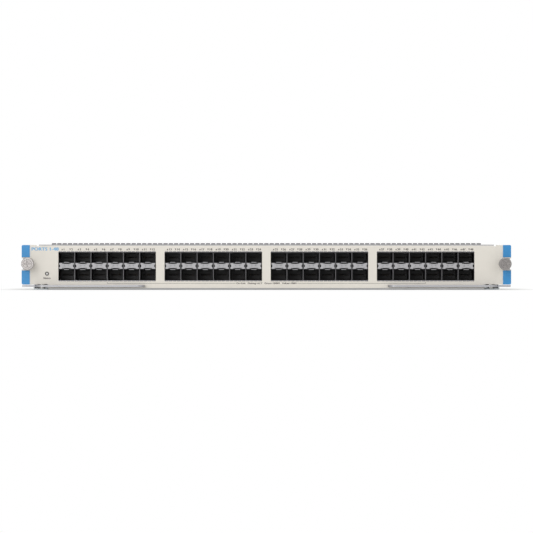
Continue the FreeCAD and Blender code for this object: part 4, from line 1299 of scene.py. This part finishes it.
@dataclass
class BoardFittings:
    """Screws, chip capacitors, leads, cans, terminals and printed outlines on the circuit board."""

    finishes: Finishes
    screw_head: float = 2.9
    screw_height: float = 1.9
    chip: tuple[float, float, float] = (1.7, 0.9, 0.8)
    cap_end: float = 0.35
    lead_pitch: float = 1.27
    line: float = 0.28
    chip_pitch: float = 1.9
    recess: float = 0.9
    rivet: float = 2.0
    rivet_height: float = 0.9
    can: float = 4.0
    can_pitch: float = 11.5
    can_offset: tuple[float, float] = (6.0, 9.0)
    can_foot: float = 1.0
    can_top: float = 8.6
    can_base: float = 4.2
    cans_in_row: int = 5
    point: float = 0.7
    point_pitch: float = 7.5
    point_inset: float = 4.0
    outline_gap: float = 1.0
    screw_steps: tuple[int, int] = (16, 96)
    screw_arm: tuple[float, float] = (0.4, 1.8)
    screw_dome: float = 0.3
    package_half: float = 2.4
    package_top: float = 1.75
    lead_half: float = 0.21
    crystal: tuple[float, float, float] = (2.5, 1.6, 1.1)
    crystals_at: tuple[tuple[int, int], ...] = ((-60, 82), (96, 84), (-8, 96))
    fine_leads: int = 22
    fine_lead: tuple[float, float, float] = (1.2, 0.16, 0.2)
    fine_corner: float = 2.2
    dot: float = 0.55
    dot_inset: float = 1.6
    signal_blades: tuple[int, int] = (8, 6)
    signal_pitch: tuple[float, float] = (6.0, 2.1)
    signal_foot: float = 3.4
    signal_depth: float = 5.0
    signal_pair: float = 0.75
    signal_blade: tuple[float, float, float] = (0.12, 3.6, 0.4)
    power_blades: int = 6
    power_depth: float = 9.0
    power_pair: float = 0.6
    power_blade: tuple[float, float, float] = (0.12, 7.0, 3.2)
    packages_at: tuple[tuple[int, int, int], ...] = (
        (-150, 30, 4), (-150, 48, 4), (-120, 78, 7), (-92, 96, 4), (-30, 70, 10), (22, 70, 10),
        (60, 98, 4), (84, 98, 4), (104, -52, 4), (-104, -52, 4), (-12, -60, 7), (14, -60, 7),
        (168, -34, 4), (-172, -34, 4), (-172, 96, 7), (-150, 96, 7), (158, 112, 4), (172, 112, 4))

    def __post_init__(self) -> None:
        self.board = Box.of("main_board")
        self.top = float(self.board.high[2])

    def screws(self) -> None:
        """Pan-head screws over the standoffs.

        Height at radius r and angle a is h (1 - 0.3 (r / R)^2) less the depth of the cross recess there.
        """
        (rings, steps), (wide, long) = self.screw_steps, self.screw_arm
        radius = np.linspace(0.05, self.screw_head, rings)[:, None]
        angle = np.linspace(0, 2 * np.pi, steps, endpoint=False)[None]
        x, y = radius * np.cos(angle), radius * np.sin(angle)
        arms = np.minimum(np.maximum(np.abs(x) - wide, np.abs(y) - long),
                          np.maximum(np.abs(y) - wide, np.abs(x) - long))
        z = self.top + self.screw_height * (1 - self.screw_dome * (radius / self.screw_head) ** 2)
        z = z - self.recess * (1 - smooth(arms, -0.2, 0.08))
        rim = np.stack([x[-1], y[-1], np.full(steps, self.top)], axis=-1)[None]
        head = np.concatenate([np.stack([x, y, z], axis=-1), rim])
        places = np.array([(*box.centre[:2], 0.0) for box in Box.each("board_standoffs")])
        shape = Sculpture("board_screws")
        shape.copies(head, quads(rings + 1, steps, wrap_columns=True), places)
        shape.finish(self.finishes, "nickel_metal")

    @staticmethod
    def level(box: Box, inset: float, y: float) -> Row:
        """A row along X beside a box, inset from its ends."""
        return box.low[0] + inset, y, box.high[0] - inset, y, False

    @staticmethod
    def upright(box: Box, inset: float, x: float) -> Row:
        """A row along Y beside a box, inset from its ends."""
        return x, box.low[1] + inset, x, box.high[1] - inset, True

    def rows(self) -> list[Row]:
        """Where chip capacitors stand: behind the cages and round the chips, sinks and stiffener."""
        rows = []
        for cage in (Box.of(f"port_cage_{group}") for group in range(1, 5)):
            rows += [self.level(cage, 3, cage.high[1] + gap) for gap in (7.0, 10.0, 13.0)]
        for chip in Box.each("port_interface_chips"):
            for gap in (3.0, 5.4):
                rows += [self.level(chip, 1, chip.low[1] - gap),
                         self.upright(chip, 1, chip.low[0] - gap),
                         self.level(chip, 1, chip.high[1] + gap)]
        for sink in Box.each("heat_sinks"):
            rows += [self.level(sink, 2, sink.low[1] - gap) for gap in (3.0, 5.6, 8.2)]
            for gap in (3.2, 6.0):
                rows += [self.upright(sink, 2, x) for x in (sink.low[0] - gap, sink.high[0] + gap)]
        bar = Box.of("rear_stiffener")
        rows += [(bar.low[0] + 20, bar.low[1] - gap, 100.0, bar.low[1] - gap, False)
                 for gap in (5.0, 8.0)]
        return rows

    def capacitors(self) -> None:
        """Ceramic chip capacitors in rows, each with a tinned end on both sides."""
        body, ends = Sculpture("chip_capacitors"), Sculpture("capacitor_ends")
        length, width, height = self.chip
        for x0, y0, x1, y1, lying in self.rows():
            run = max(abs(x1 - x0), abs(y1 - y0))
            share = np.linspace(0, 1, max(2, int(run / self.chip_pitch)))[:, None]
            middle = np.array([[x0, y0, self.top]]) + share * np.array([[x1 - x0, y1 - y0, 0.0]])
            along = np.array([length, width, 0.0]) if lying else np.array([width, length, 0.0])
            way, across = np.array([lying, not lying, 0]), np.array([not lying, lying, 0])
            inner = along - 2 * self.cap_end * way
            body.boxes(middle - inner / 2, middle + inner / 2 + (0, 0, height))
            step = (along + inner) / 4 * way
            size = (along - inner) / 2 * way + along * across + np.array([0.04, 0.04, 0.0])
            for sign in (-1, 1):
                end = middle + sign * step
                ends.boxes(end - size / 2, end + size / 2 + (0, 0, height + 0.03))
        body.finish(self.finishes, "ceramic_chip", "capacitor_case", flat=True)
        ends.finish(self.finishes, "tinned_end", "nickel_metal", flat=True)

    def packages(self) -> None:
        """Small packages with gull-wing leads on two sides, and clock crystals in metal cans."""
        shape, leads = Sculpture("leaded_packages"), Sculpture("package_leads")
        # Shoulder, leg and foot of a lead: its two distances from the middle, then its two heights.
        bends = ((2.4, 2.8, 0.85, 1.0), (2.75, 2.9, 0.05, 1.0), (2.9, 3.5, 0.02, 0.18))
        deep, thin = self.package_half, self.lead_half
        for x, y, count in self.packages_at:
            half = ((count - 1) * self.lead_pitch + 1.4) / 2
            shape.boxes([(x - half, y - deep, self.top + 0.15)],
                        [(x + half, y + deep, self.top + self.package_top)])
            step = along_x(count, self.lead_pitch)
            for sign in (-1, 1):
                for near, far, foot, head in bends:
                    ends = sorted((y + sign * near, y + sign * far))
                    low = step + (x - thin, ends[0], self.top + foot)
                    leads.boxes(low, step + (x + thin, ends[1], self.top + head))
        wide, deep, height = self.crystal
        for x, y in self.crystals_at:
            leads.boxes([(x - wide, y - deep, self.top)], [(x + wide, y + deep, self.top + height)])
        shape.finish(self.finishes, "chip_package", flat=True, bevel=0.15)
        leads.finish(self.finishes, "tinned_end", "nickel_metal", flat=True)

    def flat_packs(self) -> None:
        """Rows of fine leads round the interface chips, and a pin-one dot on every large package."""
        leads, dots = Sculpture("interface_chip_leads"), Sculpture("package_dots")
        count, (reach, half, thick) = self.fine_leads, self.fine_lead
        for chip in Box.each("port_interface_chips"):
            span = chip.size[0] - self.fine_corner
            run = np.linspace(-span / 2, span / 2, count)
            for sign in (-1, 1):
                for axis in (0, 1):
                    edge = (chip.high if sign > 0 else chip.low)[axis]
                    low, high = np.zeros((count, 3)), np.zeros((count, 3))
                    low[:, axis], high[:, axis] = sorted((edge, edge + sign * reach))
                    low[:, 1 - axis] = chip.centre[1 - axis] + run - half
                    high[:, 1 - axis] = chip.centre[1 - axis] + run + half
                    low[:, 2], high[:, 2] = self.top + 0.02, self.top + thick
                    leads.boxes(low, high)
        for node in ("port_interface_chips", "memory_chips"):
            for chip in Box.each(node):
                centre = (chip.low[0] + self.dot_inset, chip.high[1] - self.dot_inset)
                z = chip.high[2] + 0.02
                dots.turned([(0.01, z), (self.dot, z)], centre, 20, upright=True)
        leads.finish(self.finishes, "tinned_end", "nickel_metal", flat=True)
        dots.finish(self.finishes, "white_ink", "board_laminate", flat=True)

    def cans(self) -> None:
        """Polymer capacitors in drawn cans near the power converters, each on a square black foot."""
        shape, feet = Sculpture("capacitor_cans"), Sculpture("capacitor_feet")
        converter = Box.of("power_converters")
        (right, behind), r, half = self.can_offset, self.can, self.can_base
        z0, z1 = self.top + self.can_foot, self.top + self.can_top
        # From the crimped neck up the side and over the rolled edge to the sunk lid.
        outline = [(r - 0.3, z0), (r - 0.3, z0 + 0.9), (r, z0 + 1.3), (r, z1 - 0.5), (r - 0.5, z1),
                   (r - 1.0, z1), (r - 1.1, z1 - 0.12), (0.01, z1 - 0.12)]
        for i in range(self.cans_in_row):
            x, y = converter.low[0] + right + self.can_pitch * i, converter.high[1] + behind
            shape.turned(outline, (x, y), 40, upright=True)
            feet.boxes([(x - half, y - half, self.top)], [(x + half, y + half, z0)])
        shape.finish(self.finishes, "can_aluminium", "sink_metal")
        feet.finish(self.finishes, "connector_plastic", flat=True, bevel=0.3)

    def outlines(self) -> None:
        """White outlines printed round the larger parts, and gold test points along the sides."""
        ink, gold = Sculpture("board_outlines"), Sculpture("test_points")
        z0, z1, t = self.top + 0.005, self.top + 0.03, self.line
        parts = [box for node in ("power_converters", "power_inductors", "memory_chips", "heat_sinks",
                                  "bulk_capacitors") for box in Box.each(node)]
        for box in parts:
            (x0, y0), (x1, y1) = box.low[:2] - self.outline_gap, box.high[:2] + self.outline_gap
            for a0, b0, a1, b1 in ((x0, y0, x1, y0 + t), (x0, y1 - t, x1, y1), (x0, y0, x0 + t, y1),
                                   (x1 - t, y0, x1, y1)):
                ink.boxes([(a0, b0, z0)], [(a1, b1, z1)])
        for x in (self.board.low[0] + self.point_inset, self.board.high[0] - self.point_inset):
            for y in np.arange(-100.0, 130.0, self.point_pitch):
                gold.turned([(0.01, z1), (self.point, z1), (self.point, z0)], (x, y), 16, upright=True)
        ink.finish(self.finishes, "white_ink", "board_laminate", flat=True)
        gold.finish(self.finishes, "gold_contact", "board_laminate", flat=True)

    def terminals(self) -> None:
        """Blades of the signal and supply connectors, and the ends of inductors and capacitors."""
        gold, tin = Sculpture("backplane_contacts"), Sculpture("power_terminals")
        (columns, rows), (apart, above) = self.signal_blades, self.signal_pitch
        thin, long, half = self.signal_blade
        for box in Box.each("signal_connectors"):
            x = along_x(columns, apart, box.centre[0])[:, 0]
            z = box.low[2] + self.signal_foot + above * np.arange(rows)
            for offset in (-self.signal_pair, self.signal_pair):
                lattice = np.meshgrid(x + offset, [box.high[1] - self.signal_depth], z)
                middle = np.stack([axis.ravel() for axis in lattice], axis=-1)
                gold.boxes(middle - (thin, 0.0, half), middle + (thin, long, half))
        box, (thin, long, half) = Box.of("power_connector"), self.power_blade
        middle = along_x(self.power_blades, box.size[0] / self.power_blades, box.centre[0])
        middle = middle + (0.0, box.high[1] - self.power_depth, box.centre[2])
        for offset in (-self.power_pair, self.power_pair):
            gold.boxes(middle + (offset - thin, 0.0, -half), middle + (offset + thin, long, half))
        for node, depth in (("power_inductors", 0.25), ("bulk_capacitors", 0.15)):
            for box in Box.each(node):
                half, top = box.size[1] * 0.3, self.top + box.size[2] * 0.55
                for x0, x1 in ((box.low[0] - depth, box.low[0] + 0.1),
                               (box.high[0] - 0.1, box.high[0] + depth)):
                    tin.boxes([(x0, box.centre[1] - half, self.top)], [(x1, box.centre[1] + half, top)])
        gold.finish(self.finishes, "gold_contact", "connector_plastic", flat=True)
        tin.finish(self.finishes, "tinned_end", "nickel_metal", flat=True)

    def rivets(self) -> None:
        """Domed rivets through the ear brackets' legs and the tray, and bands on the capacitors.

        A dome's radius and height follow a quarter of an ellipse.
        """
        angle = np.linspace(0, np.pi / 2, 8)[:, None]
        turn = np.linspace(0, 2 * np.pi, 28, endpoint=False)[None]
        tray, face = Box.of("carrier_tray"), Box.of("front_panel").low[1]
        dome, shape = self.rivet, Sculpture("bracket_rivets")
        for side, wall in ((-1, tray.low[0]), (1, tray.high[0])):
            out = wall + side * self.rivet_height * np.sin(angle) * np.ones_like(turn)
            radius = dome * np.cos(angle)
            grid = np.stack([out, radius * np.cos(turn), radius * np.sin(turn)], -1)
            places = np.array([(0.0, face + y, z) for y in (11.0, 22.0) for z in (12.0, 29.0)])
            shape.copies(grid, quads(8, 28, wrap_columns=True), places)
        shape.finish(self.finishes, "nickel_metal")
        bands = Sculpture("capacitor_bands")
        for box in Box.each("bulk_capacitors"):
            bands.boxes([(box.low[0] + 0.4, box.low[1] + 0.3, box.high[2])],
                        [(box.low[0] + 1.6, box.high[1] - 0.3, box.high[2] + 0.03)])
        bands.finish(self.finishes, "chip_package", "capacitor_case", flat=True)

    def build(self) -> None:
        """Build all the small parts."""
        for make in (self.screws, self.capacitors, self.packages, self.flat_packs, self.cans,
                     self.outlines, self.terminals, self.rivets):
            make()


# ================================================================ floor, light and camera
@dataclass(frozen=True)
class Lamp:
    """One soft studio light."""

    name: str
    place: tuple[float, float, float]
    aim: tuple[float, float, float]
    size: float
    power: float


@dataclass
class Studio:
    """Pale floor, soft light from the upper left and a camera straight in front of the panel.

    Lengths are in metres here.
    """

    distance: float = 5.0
    width_shown: float = 0.4674
    aim_height: float = 0.0203
    face: float = -0.169
    floor_reach: float = 30.0
    footprint: tuple[float, float, float] = (0.2146, 0.181, 0.0)
    beside_centre: float = 0.0001
    floor_drop: float = 0.0002
    surround: float = 0.6
    shadow_edge: tuple[float, float] = (0.002, 0.03)
    lamps: tuple[Lamp, ...] = (
        Lamp("key_light", (-1.35, -2.6, 1.25), (0.0, -0.1, 0.0), 1.3, 18.0),
        Lamp("front_light", (-0.75, -2.9, 0.2), (0.0, -0.1, 0.0), 0.8, 11.3),
        Lamp("fill_light", (1.6, -2.4, 0.6), (0.0, -0.1, 0.0), 1.4, 6.0),
        Lamp("top_light", (0.0, 0.2, 2.2), (0.0, 0.0, 0.0), 1.8, 10.0),
    )

    def floor(self) -> None:
        """A plane under the object, which past the object's shadow shows as plain white.

        Bare metal mirrors it as plain white everywhere.
        """
        half, z = self.floor_reach, -self.floor_drop
        mesh = bpy.data.meshes.new("floor")
        edge = [(-half, -half, z), (half, -half, z), (half, half, z), (-half, half, z)]
        mesh.from_pydata(edge, [], [(0, 1, 2, 3)])
        shader = Shader("pale_floor")
        place = shader.add("TexCoord", out="Object")
        beyond = shader.add("VectorMath", {0: place}, operation="ABSOLUTE")
        beyond = shader.add("VectorMath", {0: beyond, 1: self.footprint}, operation="SUBTRACT")
        beyond = shader.add("VectorMath", {0: beyond, 1: (0.0, 0.0, 0.0)}, operation="MAXIMUM")
        distance = shader.add("VectorMath", {0: beyond}, "Value", operation="LENGTH")
        far = shader.add("MapRange", {"Value": distance, "From Min": self.shadow_edge[0],
                                      "From Max": self.shadow_edge[1]})
        seen = shader.add("Math", {0: far, 1: self.seen(shader)}, operation="MULTIPLY")
        glossy = shader.add("LightPath", out="Is Glossy Ray")
        share = shader.add("Math", {0: seen, 1: glossy}, operation="MAXIMUM")
        white = shader.add("Emission", {"Color": linear("FFFFFF"), "Strength": 1.0})
        mixed = shader.add("MixShader", {0: share, 1: shader.surface.outputs[0], 2: white})
        shader.feed(shader.output.inputs["Surface"], mixed)
        mesh.materials.append(shader.surfaced(Base_Color=linear("F4F4F2"), Roughness=0.9,
                                              Specular_IOR_Level=0.0))
        floor = bpy.data.objects.new("floor", mesh)
        bpy.context.scene.collection.objects.link(floor)

    @staticmethod
    def seen(shader: Shader) -> Socket:
        """One for rays that come from the camera, from a reflection or through clear plastic.

        Args:
            shader: The tree that gets the nodes.

        Returns:
            The output that holds the one or zero.
        """
        path = shader.add("LightPath").node.outputs
        first = shader.add("Math", {0: path["Is Camera Ray"], 1: path["Is Glossy Ray"]},
                           operation="MAXIMUM")
        return shader.add("Math", {0: first, 1: path["Is Transmission Ray"]}, operation="MAXIMUM")

    def world(self) -> None:
        """A white surround that lights the object at a little over half of the strength that shows."""
        world = bpy.data.worlds.new("surround")
        bpy.context.scene.world = world
        shader = Shader.on(world)
        strength = shader.add("MapRange", {"Value": self.seen(shader), "To Min": self.surround,
                                           "To Max": 1.0})
        background = world.node_tree.nodes["Background"]
        background.inputs["Color"].default_value = linear("FFFFFF")
        shader.feed(background.inputs["Strength"], strength)

    def light(self) -> None:
        """Square area lights, turned towards the card."""
        for lamp in self.lamps:
            data = bpy.data.lights.new(lamp.name, "AREA")
            data.size, data.energy = lamp.size, lamp.power
            light = bpy.data.objects.new(lamp.name, data)
            light.location = lamp.place
            way = np.array(lamp.aim) - np.array(lamp.place)
            light.rotation_euler = Vector(way).to_track_quat("-Z", "Y").to_euler()
            bpy.context.scene.collection.objects.link(light)

    def camera(self) -> None:
        """A long lens, level with the middle of the panel."""
        data = bpy.data.cameras.new("camera")
        data.lens = data.sensor_width * self.distance / self.width_shown
        data.clip_end = 200.0
        camera = bpy.data.objects.new("camera", data)
        camera.location = (self.beside_centre, self.face - self.distance, self.aim_height)
        camera.rotation_euler = (math.radians(90), 0.0, 0.0)
        bpy.context.scene.collection.objects.link(camera)
        bpy.context.scene.camera = camera

    def set_up(self) -> None:
        """Build the whole studio."""
        self.floor()
        self.world()
        self.light()
        self.camera()
        bpy.context.scene.view_settings.view_transform = "Standard"


# ================================================================ the whole scene
def corners(pair: tuple) -> dict[str, list[float]]:
    """The two corners of a box as plain lists."""
    return {"low": [round(v, 6) for v in pair[0]], "high": [round(v, 6) for v in pair[1]]}


def main() -> None:
    """Load the frame, dress it, add the finer pieces and set up the studio."""
    logging.basicConfig(level=logging.INFO)
    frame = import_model()
    finishes = Finishes()
    finishes.dress(frame)
    assemblies = (Thumbscrew("left", finishes, 4.0), Thumbscrew("right", finishes, 38.0),
                  GasketStrip(finishes), *(PortFronts(number, finishes) for number in range(1, 5)),
                  Printing(finishes), LampCollar(finishes), BoardFittings(finishes))
    for assembly in assemblies:
        known = set(bpy.data.objects)
        assembly.build()
        for piece in bpy.data.objects:
            if piece not in known:
                LOG.info("%s: %s, %d faces", type(assembly).__name__, piece.name,
                         len(piece.data.polygons))
    Studio().set_up()


if __name__ == "__main__":
    main()
